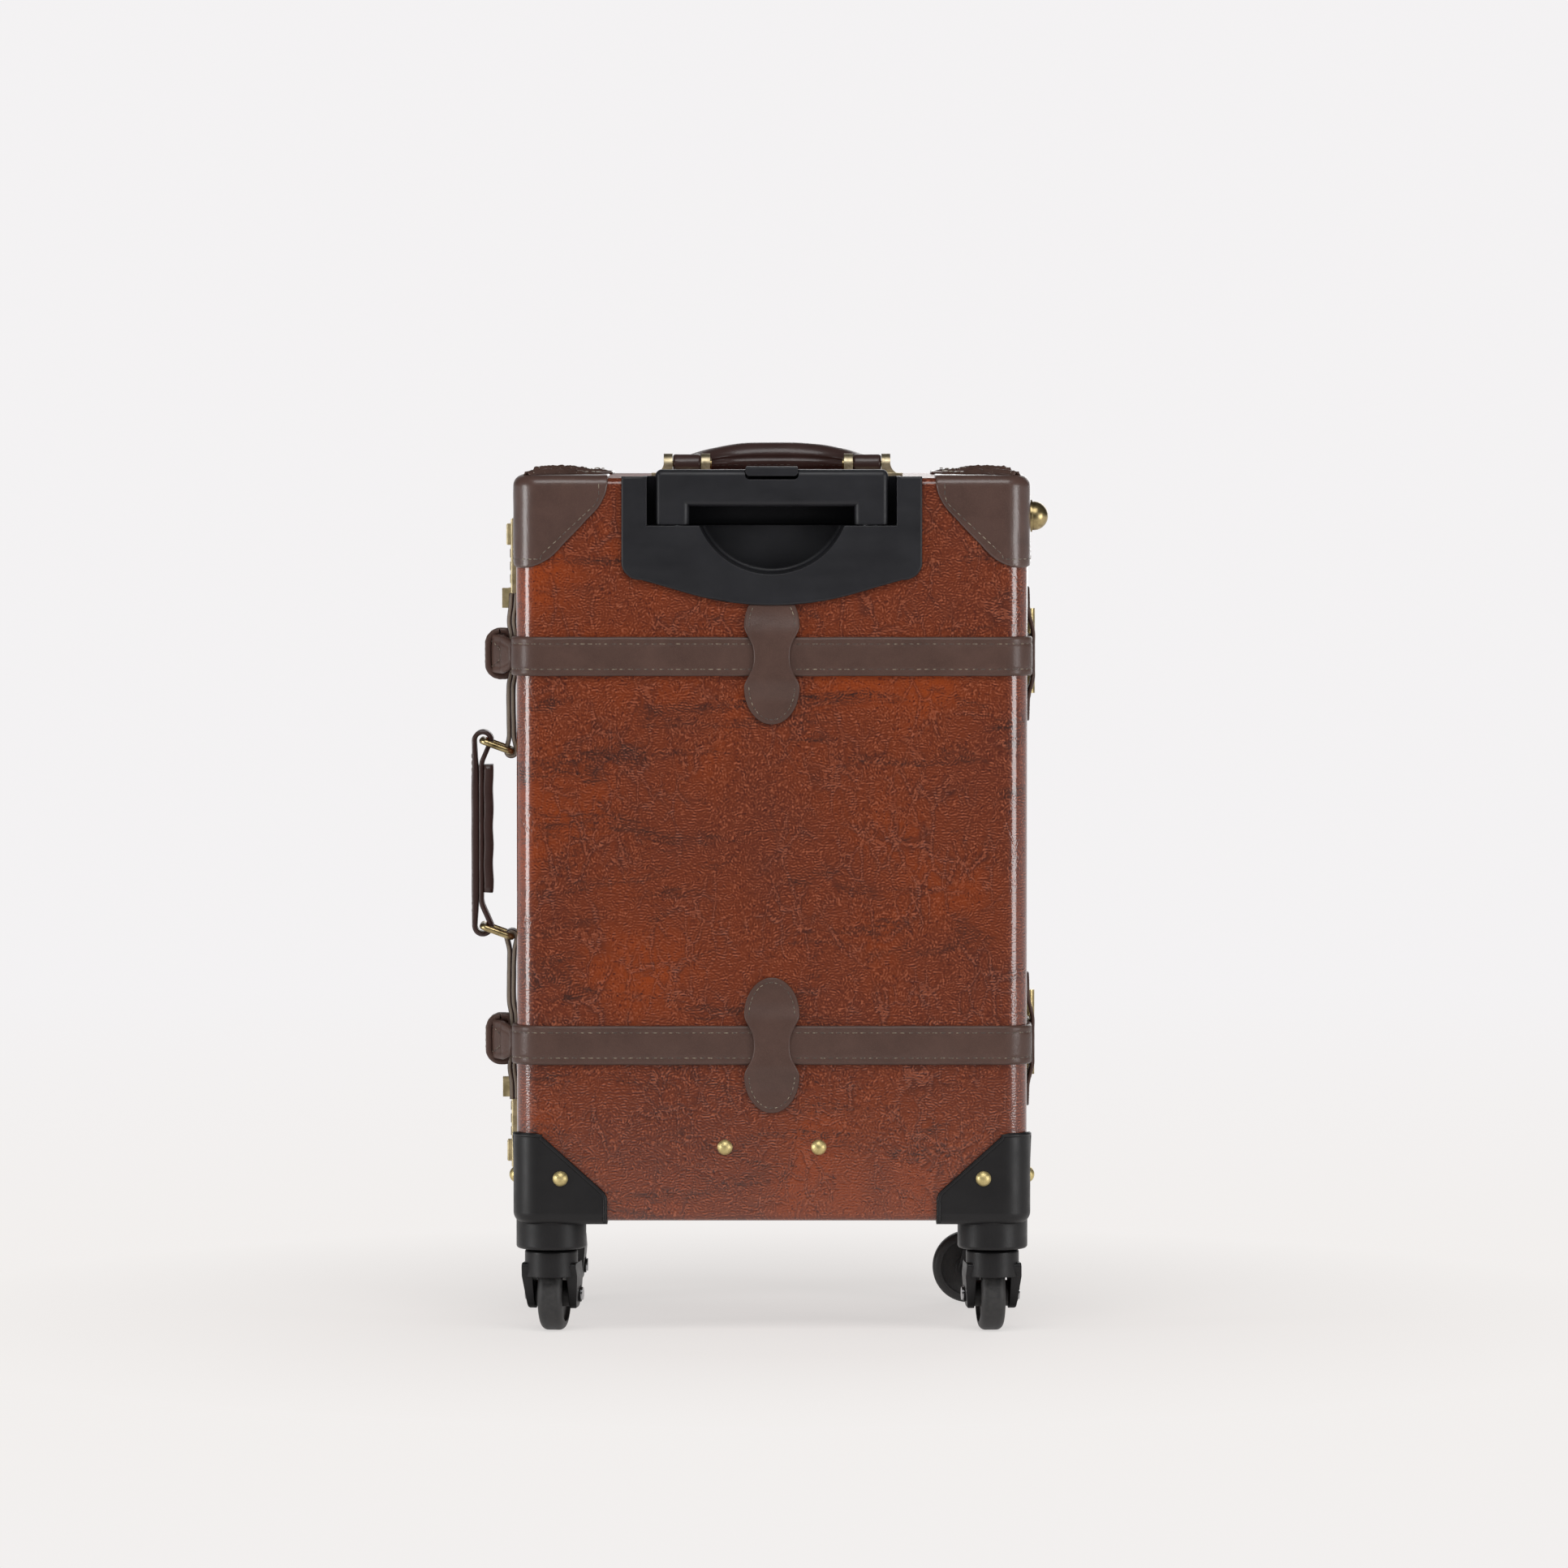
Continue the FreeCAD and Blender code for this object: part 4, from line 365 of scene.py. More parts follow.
def lining_cloth():
    """Plain-woven beige cloth, with painted shade between its threads."""
    material, tree, shader = new_material(
        "lining_cloth", Roughness=0.85, Sheen_Weight=0.25, Sheen_Roughness=0.4)
    at = place(tree)
    weave = []
    for direction in ("X", "Z"):
        links = {"Vector": at, "Scale": 520.0, "Distortion": 0.6, "Detail": 1.0, "Detail Scale": 2.0}
        weave.append(add(tree, "ShaderNodeTexWave", links, bands_direction=direction).outputs["Fac"])
    cross = maths(tree, "MAXIMUM", weave[0], weave[1])
    patch = cloud(tree, at, 12, 3, 0.6)
    base = ramp(tree, patch, [(0.3, (0.20, 0.15, 0.10)), (0.7, (0.27, 0.21, 0.145))])
    # Painted shade darkens the gaps between the threads.
    base = blend_colour(tree, grey(tree, cross, 0.35, 0.0), base, (0.10, 0.072, 0.046))
    feed(tree, shader, Base_Color=base)
    bump(tree, shader, cross, 0.12)
    return material


def thread(name, tint, dark_tone):
    """Twisted sewing thread: a dark tone with pale patches, partly its own lighter tone and partly
    painted glints, and painted shade in the twist's grooves.
    """
    material, tree, shader = new_material(name, Roughness=0.75, Sheen_Weight=0.2)
    at = place(tree)
    twist = cloud(tree, at, 2400, 2, 0.6)
    # Pale patches, partly the thread's own lighter tone and partly painted glints.
    pale_tone_and_glint = grey(tree, cloud(tree, at, 420, 1), 0.0, 1.0, 0.47, 0.62)
    base = blend_colour(tree, pale_tone_and_glint, dark_tone, tint)
    # Painted shade darkens the grooves of the twist.
    base = blend_colour(tree, grey(tree, twist, 0.6, 0.0, 0.3, 0.6), base, shade(dark_tone, 0.5))
    feed(tree, shader, Base_Color=base)
    bump(tree, shader, twist, 0.06)
    return material


LEATHER = shell_leather()
STRAP = dark_leather("strap_leather", (0.073, 0.0400, 0.0315), 0.42)
CAP = dark_leather("cap_leather", (0.072, 0.0385, 0.0305), 0.42, 0.75)
HANDLE = dark_leather("handle_leather", (0.041, 0.0205, 0.0178), 0.40, 0.5)
RAW_EDGE = dark_leather("cut_edge_leather", (0.230, 0.190, 0.150), 0.60)
PLASTIC = black_plastic("black_plastic", (0.0150, 0.0152, 0.0178), 0.42, 1.0)
CASTOR = black_plastic("castor_plastic", (0.0095, 0.0090, 0.0096), 0.40, 0.7)
RUBBER = wheel_rubber()
BRASS = antique_brass("antique_brass", (0.42, 0.330, 0.165), (0.17, 0.125, 0.055), 0.26)
LOCK_BRASS = antique_brass("lock_brass", (0.62, 0.53, 0.33), (0.42, 0.350, 0.200), 0.46)
RIVET = antique_brass("rivet_brass", (0.68, 0.56, 0.27), (0.47, 0.38, 0.17), 0.40)
DIAL = antique_brass("dial_brass", (0.40, 0.315, 0.165), (0.12, 0.085, 0.040), 0.28)
PALE_BRASS = antique_brass("pale_brass", (0.56, 0.48, 0.32), (0.30, 0.245, 0.150), 0.36)
TUBE = satin_metal("anodised_tube", (0.16, 0.16, 0.165), 0.30)
ALUMINIUM = satin_metal("satin_aluminium", (0.62, 0.62, 0.63), 0.26)
STEEL = satin_metal("axle_steel", (0.42, 0.42, 0.43), 0.22)
CLOTH = lining_cloth()
THREAD = thread("strap_thread", (0.33, 0.275, 0.190), (0.066, 0.047, 0.036))
DARK_THREAD = thread("handle_thread", (0.075, 0.050, 0.040), (0.030, 0.018, 0.015))
WHITE_THREAD = thread("seam_thread", (0.62, 0.58, 0.50), (0.36, 0.31, 0.25))

SLOT_LOOKS = {
    "leather_brown": LEATHER,
    "leather_dark": STRAP,
    "black_plastic": PLASTIC,
    "wheel_rubber": RUBBER,
    "brass": BRASS,
    "dial_brass": DIAL,
    "aluminium": ALUMINIUM,
    "axle_steel": STEEL,
    "lining_fabric": CLOTH,
}
# Nodes whose look isn't their slot's, by the end of their name.
NODE_LOOKS = (
    (("fork", "guards"), CASTOR),
    (("tubes",), TUBE),
    (("rivets",), RIVET),
    (("lock_cases", "hasp_bases", "hasp", "slider"), LOCK_BRASS),
    (("top_handle_brackets",), PALE_BRASS),
)
for subpart in frame["record"]["subparts"]:
    look = SLOT_LOOKS[subpart["material_slot"]]
    for endings, other in NODE_LOOKS:
        if subpart["node"].endswith(endings):
            look = other
    materials = NODES[subpart["node"]].data.materials
    materials.clear()
    materials.append(look)


# Mesh helpers

STITCH_PROFILE = ((-1, 0.35), (-0.72, 0.85), (0, 1), (0.72, 0.85), (1, 0.35))
STITCH_SINK = 0.55
STITCH_LEAN = 0.07
UP = Vector((0, 0, 1))


def spaced(first, last, steps):
    """Evenly spaced values, both ends included."""
    return [first + (last - first) * k / steps for k in range(steps + 1)]


def circle(count):
    """Cosine and sine of evenly spaced turns."""
    return [(math.cos(turn), math.sin(turn)) for turn in spaced(0, math.tau, count)[:-1]]


def signed_power(value, exponent):
    """Power that keeps the value's sign."""
    return math.copysign(abs(value) ** exponent, value)


def eased(share):
    """Share from 0 to 1 with a soft start and end."""
    return share * share * (3 - 2 * share)


def edge_drop(depth, radius):
    """How far a rounded edge lies below its face, at a distance from the rim."""
    if depth >= radius:
        return 0.0
    return radius - math.sqrt(max(0.0, radius ** 2 - (radius - depth) ** 2))


def furrow(depth, inset, width):
    """Depth, from 0 to 1, of the groove along a row of stitches."""
    return math.exp(-((depth - inset) / width) ** 2)


def put(name, data):
    """Object in the scene."""
    made = bpy.data.objects.new(name, data)
    bpy.context.scene.collection.objects.link(made)
    return made


def settle(made, body, stands_for=()):
    """Say what an object rides on and which nodes it stands for."""
    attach(made, body)
    if stands_for:
        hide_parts(*stands_for)
    return made


def face_outwards(mesh, weld=0.0):
    """Turn faces outwards, after joining vertices closer than weld millimetres."""
    made = bmesh.new()
    made.from_mesh(mesh)
    if weld:
        bmesh.ops.remove_doubles(made, verts=made.verts, dist=weld * MM)
    bmesh.ops.recalc_face_normals(made, faces=made.faces)
    made.to_mesh(mesh)
    made.free()


class Pile:
    """Vertices in millimetres and faces of one piece."""

    def __init__(self):
        self.verts = []
        self.faces = []

    def loft(self, rings, closed=False):
        """Skin over rings of equal count; the ends are capped unless the rings close up."""
        start = len(self.verts)
        count = len(rings[0])
        for ring in rings:
            self.verts.extend(Vector(point) for point in ring)
        spans = len(rings) if closed else len(rings) - 1
        for i in range(spans):
            a = start + i * count
            b = start + (i + 1) % len(rings) * count
            for k in range(count):
                n = (k + 1) % count
                self.faces.append((a + k, a + n, b + n, b + k))
        if not closed:
            self.faces.append(tuple(start + k for k in reversed(range(count))))
            last = start + (len(rings) - 1) * count
            self.faces.append(tuple(last + k for k in range(count)))

    def stitch(self, middle, along, out, length=STITCH_LENGTH, radius=STITCH_RADIUS):
        """One sunken stitch: a short spindle that lies along a direction."""
        along = along.normalized()
        across = along.cross(out).normalized()
        rings = []
        for step, swell in STITCH_PROFILE:
            drop = -STITCH_SINK * radius * step * step
            centre = middle + along * (step * length / 2) + out * drop
            rings.append([centre + (across * c + out * s) * radius * swell for c, s in circle(6)])
        self.loft(rings)

    def run(self, points, outs, pitch=STITCH_PITCH, skip=None, **sizes):
        """Row of stitches along a polyline with an outward direction at each point."""
        travelled = pitch / 2
        for i in range(len(points) - 1):
            step = points[i + 1] - points[i]
            reach = step.length
            while travelled < reach:
                share = travelled / reach
                spot = points[i] + step * share
                if skip is None or not skip(spot):
                    sideways = outs[i].cross(step).normalized()
                    lean = step.normalized() + sideways * random.uniform(-STITCH_LEAN, STITCH_LEAN)
                    self.stitch(spot, lean, outs[i].lerp(outs[i + 1], share).normalized(), **sizes)
                travelled += pitch
            travelled -= reach

    def piece(self, name, material, body, slot, stands_for=()):
        """Object made of this pile, riding on a body."""
        mesh = bpy.data.meshes.new(name)
        mesh.from_pydata([point * MM for point in self.verts], [], self.faces)
        face_outwards(mesh)
        mesh.polygons.foreach_set("use_smooth", [True] * len(mesh.polygons))
        mesh.materials.append(material)
        return settle(put(name, mesh), body, stands_for)


def line(first, last, step):
    """Points from first up to, but without, last."""
    count = max(1, round((last - first).length / step))
    return [first.lerp(last, i / count) for i in range(count)]


def rounded(corners, step=1.5):
    """Polyline through 2-D corners (u, v, radius), each rounded off with an arc."""
    points = []
    for i, (u, v, radius) in enumerate(corners):
        here = Vector((u, v))
        if radius <= 0 or i in (0, len(corners) - 1):
            points.append(here)
            continue
        before = (Vector(corners[i - 1][:2]) - here).normalized()
        after = (Vector(corners[i + 1][:2]) - here).normalized()
        half = before.angle(after) / 2
        centre = here + (before + after).normalized() * (radius / math.sin(half))
        start = here + before * (radius / math.tan(half)) - centre
        sweep = start.angle_signed(here + after * (radius / math.tan(half)) - centre)
        count = max(3, round(abs(sweep) * radius / step))
        for turn in spaced(0, -sweep, count):
            turned = Vector((
                start.x * math.cos(turn) - start.y * math.sin(turn),
                start.x * math.sin(turn) + start.y * math.cos(turn),
            ))
            points.append(centre + turned)
    dense = []
    for first, last in zip(points, points[1:]):
        dense.extend(line(first, last, step))
    dense.append(points[-1])
    return dense


def half_path(left_end, right_end):
    """Plan path round the back half's outside, left side to right side, with outward directions."""
    inner_x = SIDE - CORNER_RADIUS
    inner_y = DEPTH - CORNER_RADIUS
    end = Vector((SIDE, -right_end, 0))
    points = line(Vector((-SIDE, -left_end, 0)), Vector((-SIDE, -inner_y, 0)), PATH_STEP)
    outs = [Vector((-1, 0, 0))] * len(points)
    for side in (-1, 1):
        for turn in spaced(0, math.pi / 2, 10):
            c, s = math.cos(turn), math.sin(turn)
            out = Vector((-c, -s, 0)) if side < 0 else Vector((s, -c, 0))
            points.append(Vector((side * inner_x, -inner_y, 0)) + out * CORNER_RADIUS)
            outs.append(out)
        if side < 0:
            across = line(points[-1], Vector((inner_x, -DEPTH, 0)), PATH_STEP)[1:]
            points += across
            outs += [Vector((0, -1, 0))] * len(across)
    along = line(points[-1], end, PATH_STEP)[1:] + [end]
    return points + along, outs + [Vector((1, 0, 0))] * len(along)


def runs_of(path, closed=False):
    """Direction of travel at each point of a path."""
    runs = []
    for k in range(len(path)):
        before = path[k - 1] if closed or k else path[k]
        after = path[(k + 1) % len(path)] if closed or k < len(path) - 1 else path[k]
        runs.append((after - before).normalized())
    return runs


def sides_of(path, closed=False):
    """Directions square to a 2-D path, to its left."""
    return [Vector((-run.y, run.x)) for run in runs_of(path, closed)]


def belt_section(width):
    """Section of a belt as (across, outward) pairs: soft edges, a low crown, two stitched furrows."""
    half = width / 2
    section = []
    for share in spaced(0, 1, 28):
        across = half * (2 * share - 1)
        depth = half - abs(across)
        out = BELT_THICKNESS + STRAP_CROWN * (1 - (across / half) ** 2) - edge_drop(depth, STRAP_EDGE)
        section.append((across, out - FURROW_DEPTH * furrow(depth, STITCH_INSET, FURROW_WIDTH)))
    return section + [(half - 0.1, 0.35), (half - 0.5, 0.0), (0.5 - half, 0.0), (0.1 - half, 0.35)]


def wobble(point, size, reach=18.0):
    """Small smooth random offset that depends on place."""
    return noise.noise(point / reach) * size


def add_belt(pile, path, outs, z, width_at=None):
    """Belt swept along a plan path at a height."""
    rings = []
    for i, (point, out) in enumerate(zip(path, outs)):
        shift = wobble(point + UP * z, 0.25)
        ring = []
        for across, height in belt_section(width_at(i) if width_at else BELT_WIDTH):
            uneven = wobble(point + UP * (z + across), 0.12, 9)
            ring.append(point + out * (SEAT + height + uneven) + UP * (z + across + shift))
        rings.append(ring)
    pile.loft(rings)


def belt_rows(pile, path, outs, z):
    """Both stitch rows of a belt, left out under its keepers."""
    for side in (-1, 1):
        rise = UP * (z + side * (BELT_WIDTH / 2 - STITCH_INSET))
        points = [p + o * (SEAT + BELT_THICKNESS - 0.05) + rise for p, o in zip(path, outs)]
        pile.run(points, outs, skip=under_keeper)


def mirror_y(points):
    """Mirror images in the parting plane."""
    return [Vector((p.x, -p.y, p.z)) for p in points]


# Belts

KEEPER_SIDE_Y = -DEPTH + 57.0
KEEPER_COVER = 13.5


def under_keeper(spot):
    """True where a keeper hides the belt."""
    on_face = abs(spot.x) < KEEPER_COVER and abs(spot.y) > DEPTH - 1
    on_side = spot.x > SIDE and abs(abs(spot.y) + KEEPER_SIDE_Y) < KEEPER_COVER
    return on_face or on_side


def build_back_belts():
    """Belts of the back half and their stitches."""
    belts, rows = Pile(), Pile()
    path, outs = half_path(84, 22)
    for z in BELTS:
        add_belt(belts, path, outs, z)
        belt_rows(rows, path, outs, z)
    belts.piece("back_belt_straps", STRAP, "back_half", "leather_dark", ("back_belts",))
    rows.piece("back_belt_stitches", THREAD, "back_half", "leather_dark")


# Depth position and distance from the left side, from the lid's edge to the tip.
TONGUE_LEVELS = (
    (24.0, 0.0), (2.0, 3.6), (-24.0, 10.4), (-42.0, 14.1), (-60.0, 14.1), (-71.0, 8.2), (-82.0, 1.8),
)
TONGUE_STEPS = 54
TONGUE_BLUNT = 0.46
TONGUE_POINT = 11.0
ROW_START = 10
ROW_TIP = 5


def tongue_level(y):
    """How far a belt tongue's inner side stands off the left side."""
    for (y0, n0), (y1, n1) in zip(TONGUE_LEVELS, TONGUE_LEVELS[1:]):
        if y >= y1:
            return n0 + (n1 - n0) * eased((y0 - y) / (y0 - y1))
    return TONGUE_LEVELS[-1][1]


def build_front_belts():
    """Belts of the lid, each with a pointed tongue through its loop."""
    belts, rows = Pile(), Pile()
    start, tip = TONGUE_LEVELS[0][0], TONGUE_LEVELS[-1][0]
    tongue = [Vector((-SIDE - tongue_level(y), y, 0)) for y in spaced(tip, start, TONGUE_STEPS)[:-1]]
    path, outs = half_path(start, 22)
    path = tongue + mirror_y(path)
    outs = [Vector((-run.y, run.x, 0)) for run in runs_of(tongue)] + mirror_y(outs)

    def width_at(i):
        """Belt width, drawn in to a blunt point at the tongue's end."""
        if i >= len(tongue):
            return BELT_WIDTH
        reach = max(0.0, (tongue[i].y - tip) / TONGUE_POINT)
        return BELT_WIDTH * min(1.0, TONGUE_BLUNT + (1 - TONGUE_BLUNT) * math.sqrt(reach))

    for z in BELTS:
        add_belt(belts, path, outs, z, width_at)
        belt_rows(rows, path[ROW_START:], outs[ROW_START:], z)
        ends = []
        for share in (-1, -0.33, 0.33, 1):
            i = ROW_TIP if abs(share) < 0.5 else ROW_START
            lift = UP * (z + share * (BELT_WIDTH / 2 - STITCH_INSET))
            ends.append(path[i] + outs[i] * (SEAT + BELT_THICKNESS + 0.12) + lift)
        rows.run(ends, [outs[ROW_START]] * 4, pitch=4.0, length=2.8)
    belts.piece("front_belt_straps", STRAP, "front_half", "leather_dark", ("front_belts",))
    rows.piece("front_belt_stitches", THREAD, "front_half", "leather_dark")


# Keepers over the belts

KEEPER_LENGTH = 88.2
KEEPER_HALF = 18.0
KEEPER_WAIST = 11.8
KEEPER_SHOULDER = 20.0
KEEPER_THICKNESS = 2.4
KEEPER_ROUNDING = 1.2
KEEPER_SLOPE = 19.0
KEEPER_STITCH_INSET = 3.2
KEEPER_FURROW_DEPTH = 0.22
KEEPER_FURROW_WIDTH = 0.7
KEEPER_STEPS = 88
ROW_GAP = 4.0


def keeper_half_width(v):
    """Half width of the dog-bone outline at a distance from its middle."""
    v = abs(v)
    if v < KEEPER_SHOULDER:
        return KEEPER_WAIST + (KEEPER_HALF - KEEPER_WAIST) * eased((v / KEEPER_SHOULDER) ** 1.4)
    reach = (v - KEEPER_SHOULDER) / (KEEPER_LENGTH / 2 - KEEPER_SHOULDER)
    return KEEPER_HALF * math.sqrt(max(0.0, 1 - reach * reach))


def keeper_level(v):
    """Height of a keeper's underside: it dips over the belt's edges."""
    share = (BELT_WIDTH / 2 + KEEPER_SLOPE - abs(v)) / KEEPER_SLOPE
    return (BELT_THICKNESS + 0.3) * eased(min(1.0, max(0.0, share)))


def split_rows(points):
    """Runs of neighbouring points, parted wherever two of them lie far apart."""
    rows = [[points[0]]]
    for before, after in zip(points, points[1:]):
        if (after - before).length > ROW_GAP:
            rows.append([])
        rows[-1].append(after)
    return [row for row in rows if len(row) > 1]


def add_keeper(pile, rows, spot, top=KEEPER_LENGTH / 2):
    """Keeper whose points are set by spot(u, v, n), cut off at a top edge."""
    rings = []
    low = -KEEPER_LENGTH / 2
    columns = [math.sin(math.pi * (share - 0.5)) for share in spaced(0, 1, 24)]
    for share in spaced(0, 1, KEEPER_STEPS):
        if top == KEEPER_LENGTH / 2:
            share = 0.5 - 0.5 * math.cos(math.pi * share)
        v = low + (top - low) * share
        half = max(0.6, keeper_half_width(v))
        end = KEEPER_LENGTH / 2 - abs(v) + 0.05
        level = SEAT + keeper_level(v)
        ring = []
        for column in columns:
            u = half * column
            depth = max(0.0, min(half - abs(u), end))
            out = KEEPER_THICKNESS - edge_drop(depth, KEEPER_ROUNDING)
            if abs(v) > BELT_WIDTH / 2:
                out -= KEEPER_FURROW_DEPTH * furrow(depth, KEEPER_STITCH_INSET, KEEPER_FURROW_WIDTH)
            ring.append(spot(u, v, level + out + wobble(Vector((u, v, 0)), 0.12, 7)))
        rings.append(ring + [spot(half - 0.2, v, level), spot(0.2 - half, v, level)])
    pile.loft(rings)
    out = (spot(0, 0, 1) - spot(0, 0, 0)).normalized()
    inner_end = KEEPER_LENGTH / 2 - KEEPER_SHOULDER - KEEPER_STITCH_INSET
    inner_half = KEEPER_HALF - KEEPER_STITCH_INSET
    for end in (-1, 1):
        points = []
        for turn in spaced(0, math.pi, 60):
            u = inner_half * math.cos(turn)
            v = end * (KEEPER_SHOULDER + inner_end * math.sin(turn))
            if v < top - 1:
                points.append(spot(u, v, SEAT + keeper_level(v) + KEEPER_THICKNESS - 0.06))
        for row in split_rows(points):
            rows.run(row, [out] * len(row), pitch=3.4, length=2.4)


def build_keepers(half, sign):
    """Keepers of one half: sign is -1 for the back and 1 for the lid."""
    patches, rows = Pile(), Pile()
    housing_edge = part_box("trolley_housing")[0].z / MM
    for z in BELTS:
        def on_face(u, v, n, z=z):
            return Vector((u, sign * (DEPTH + n), z + v))

        def on_side(u, v, n, z=z):
            return Vector((SIDE + n, -sign * (KEEPER_SIDE_Y + u), z + v))

        covered = sign < 0 and z == UPPER_BELT
        top = housing_edge - z + 0.5 if covered else KEEPER_LENGTH / 2
        add_keeper(patches, rows, on_face, top)
        add_keeper(patches, rows, on_side)
    body = half + "_half"
    patches.piece(half + "_keeper_patches", STRAP, body, "leather_dark", (half + "_belt_keepers",))
    rows.piece(half + "_keeper_stitches", THREAD, body, "leather_dark")


# Corner caps and guards

CAP_THICKNESS = 1.8
CAP_FLAP = ((54.0, 3.0, 0.0), (54.0, 14.8, 17.0), (13.6, 52.5, 17.0), (4.0, 52.5, 0.0))
CAP_STITCH_INSET = 5.5
CAP_VOXEL = 0.8
CAP_SMOOTHING = 5
SEAM_STEPS = 46
SEAM_TIES = 12
GUARD_FLAP = ((57.4, -1.0, 0.0), (57.4, 17.0, 8.0), (13.8, 56.0, 8.0), (4.0, 56.0, 0.0))
GUARD_THICKNESS = 2.4
RIM_HALF_WIDTH = 1.15
RIM_HEIGHT = 0.6


def corner_line(flap, level, inset, proud, sign_x, sign_y):
    """Line on a corner's back flap, round its upright edge and along its side flap.

    flap lists (distance from the edge, distance from the level, radius), from the level to the corner.
    """
    flat = rounded([(a, h, max(0.0, r - inset)) for a, h, r in flap])
    face = [(a, level(h)) for a, h in flat if a >= CORNER_RADIUS]
    points = [Vector((sign_x * (SIDE - a), sign_y * (DEPTH + proud), z)) for a, z in face]
    outs = [Vector((0, sign_y, 0))] * len(face)
    end = level(flat[-1].y)
    base = Vector((sign_x * (SIDE - CORNER_RADIUS), sign_y * (DEPTH - CORNER_RADIUS), end))
    for angle in spaced(0, math.pi / 2, 12):
        out = Vector((sign_x * math.sin(angle), sign_y * math.cos(angle), 0))
        points.append(base + out * (CORNER_RADIUS + proud))
        outs.append(out)
    points += [Vector((sign_x * (SIDE + proud), sign_y * (DEPTH - a), z)) for a, z in reversed(face)]
    return points, outs + [Vector((sign_x, 0, 0))] * len(face)


def leather_copy(node, name):
    """Softened copy of a thin leather node: remeshed, smoothed and slightly uneven."""
    soft = put(name, NODES[node].data.copy())
    remesh = soft.modifiers.new("remesh", "REMESH")
    remesh.mode = "VOXEL"
    remesh.voxel_size = CAP_VOXEL * MM
    smooth = soft.modifiers.new("smooth", "SMOOTH")
    smooth.factor = 0.5
    smooth.iterations = CAP_SMOOTHING
    graph = bpy.context.evaluated_depsgraph_get()
    final = bpy.data.meshes.new_from_object(soft.evaluated_get(graph))
    soft.modifiers.clear()
    soft.data = final
    final.materials.clear()
    final.materials.append(CAP)
    uneven = []
    for vertex in final.vertices:
        spot = vertex.co / MM
        uneven.extend((spot + vertex.normal * (0.18 * noise.noise(spot / 13) + 0.1)) * MM)
    final.vertices.foreach_set("co", uneven)
    final.polygons.foreach_set("use_smooth", [True] * len(final.polygons))
    return soft


def add_seam(pile, rows, sign_x, sign_y):
    """Standing seam across a cap's top, from its corner inwards: two ragged lips, sewn over and over."""
    foot_z = TOP + SEAT + CAP_THICKNESS - 0.4
    start = Vector((sign_x * (SIDE - 7), sign_y * (DEPTH - 7), foot_z))
    end = Vector((sign_x * (SIDE - 57), sign_y * (DEPTH - 50), foot_z))
    run = (end - start).normalized()
    across = Vector((-run.y, run.x, 0))
    for side in (-1, 1):
        rings = []
        for k, share in enumerate(spaced(0, 1, SEAM_STEPS)):
            middle = start.lerp(end, share)
            ragged = noise.noise(Vector((k * 0.37, side * 3.1, sign_x + 2 * sign_y)))
            rise = 1.6 + 2.2 * math.sin(math.pi * min(1.0, share * 1.25 + 0.08)) ** 0.7 + 1.1 * ragged
            rise *= min(1.0, (1 - share) * 9 + 0.15)
            lean = side * (1.0 + 0.8 * noise.noise(Vector((k * 0.21, side, 9.0))))
            foot = middle + across * side * 2.4
            tip = middle + across * lean + UP * max(0.5, rise)
            bend = foot.lerp(tip, 0.55) + across * side * -0.3
            thick = across * side * 0.75
            back = [tip + thick + UP * 0.25, bend + thick * 1.4, foot + thick * 2]
            rings.append([foot, bend, tip] + back)
        pile.loft(rings)
    for share in spaced(0.06, 0.92, SEAM_TIES - 1):
        middle = start.lerp(end, share) + UP * (2.3 + random.uniform(-0.4, 0.5))
        slant = (across + run * random.uniform(-0.5, 0.5)).normalized()
        rows.stitch(middle, slant, UP, length=random.uniform(3.6, 5.2), radius=0.42)


def build_caps(half, sign):
    """Leather caps of one half's upper corners with their stitches and seams."""
    body = half + "_half"
    caps = leather_copy(half + "_corner_caps", half + "_cap_leather")
    settle(caps, body, (half + "_corner_caps",))
    rows, seams, ties = Pile(), Pile(), Pile()
    proud = SEAT + CAP_THICKNESS + 0.22
    for sign_x in (-1, 1):
        points, outs = corner_line(CAP_FLAP, lambda h: TOP - h, CAP_STITCH_INSET, proud, sign_x, sign)
        rows.run(points, outs, pitch=4.4, length=3.1)
        add_seam(seams, ties, sign_x, sign)
    rows.piece(half + "_cap_stitches", THREAD, body, "leather_dark")
    seams.piece(half + "_cap_seams", STRAP, body, "leather_dark")
    ties.piece(half + "_cap_seam_threads", WHITE_THREAD, body, "leather_dark")


def build_guard_rims(half, sign):
    """Raised rim along the slanted edges of the corner guards."""
    rims = Pile()
    proud = SEAT + GUARD_THICKNESS
    for sign_x in (-1, 1):
        points, outs = corner_line(GUARD_FLAP, lambda h: BOTTOM + h, 0.0, proud, sign_x, sign)
        rings = []
        for point, out, run in zip(points, outs, runs_of(points)):
            side = run.cross(out) * RIM_HALF_WIDTH
            rings.append([point + side * c + out * s * RIM_HEIGHT for c, s in circle(10)])
        rims.loft(rings)
    rims.piece(half + "_guard_rims", CASTOR, half + "_half", "black_plastic")


# Belt loops, tabs and side handle on the left

LOOP_WIDTH = 14.0
LOOP_HEIGHT = 33.5
LOOP_THICKNESS = 3.9
LOOP_STITCH_INSET = 2.2
RING_WIRE = 2.1
FOLD_RADIUS = 4.45
TAB_THICKNESS = 2.8
TAB_STITCH_INSET = 2.6
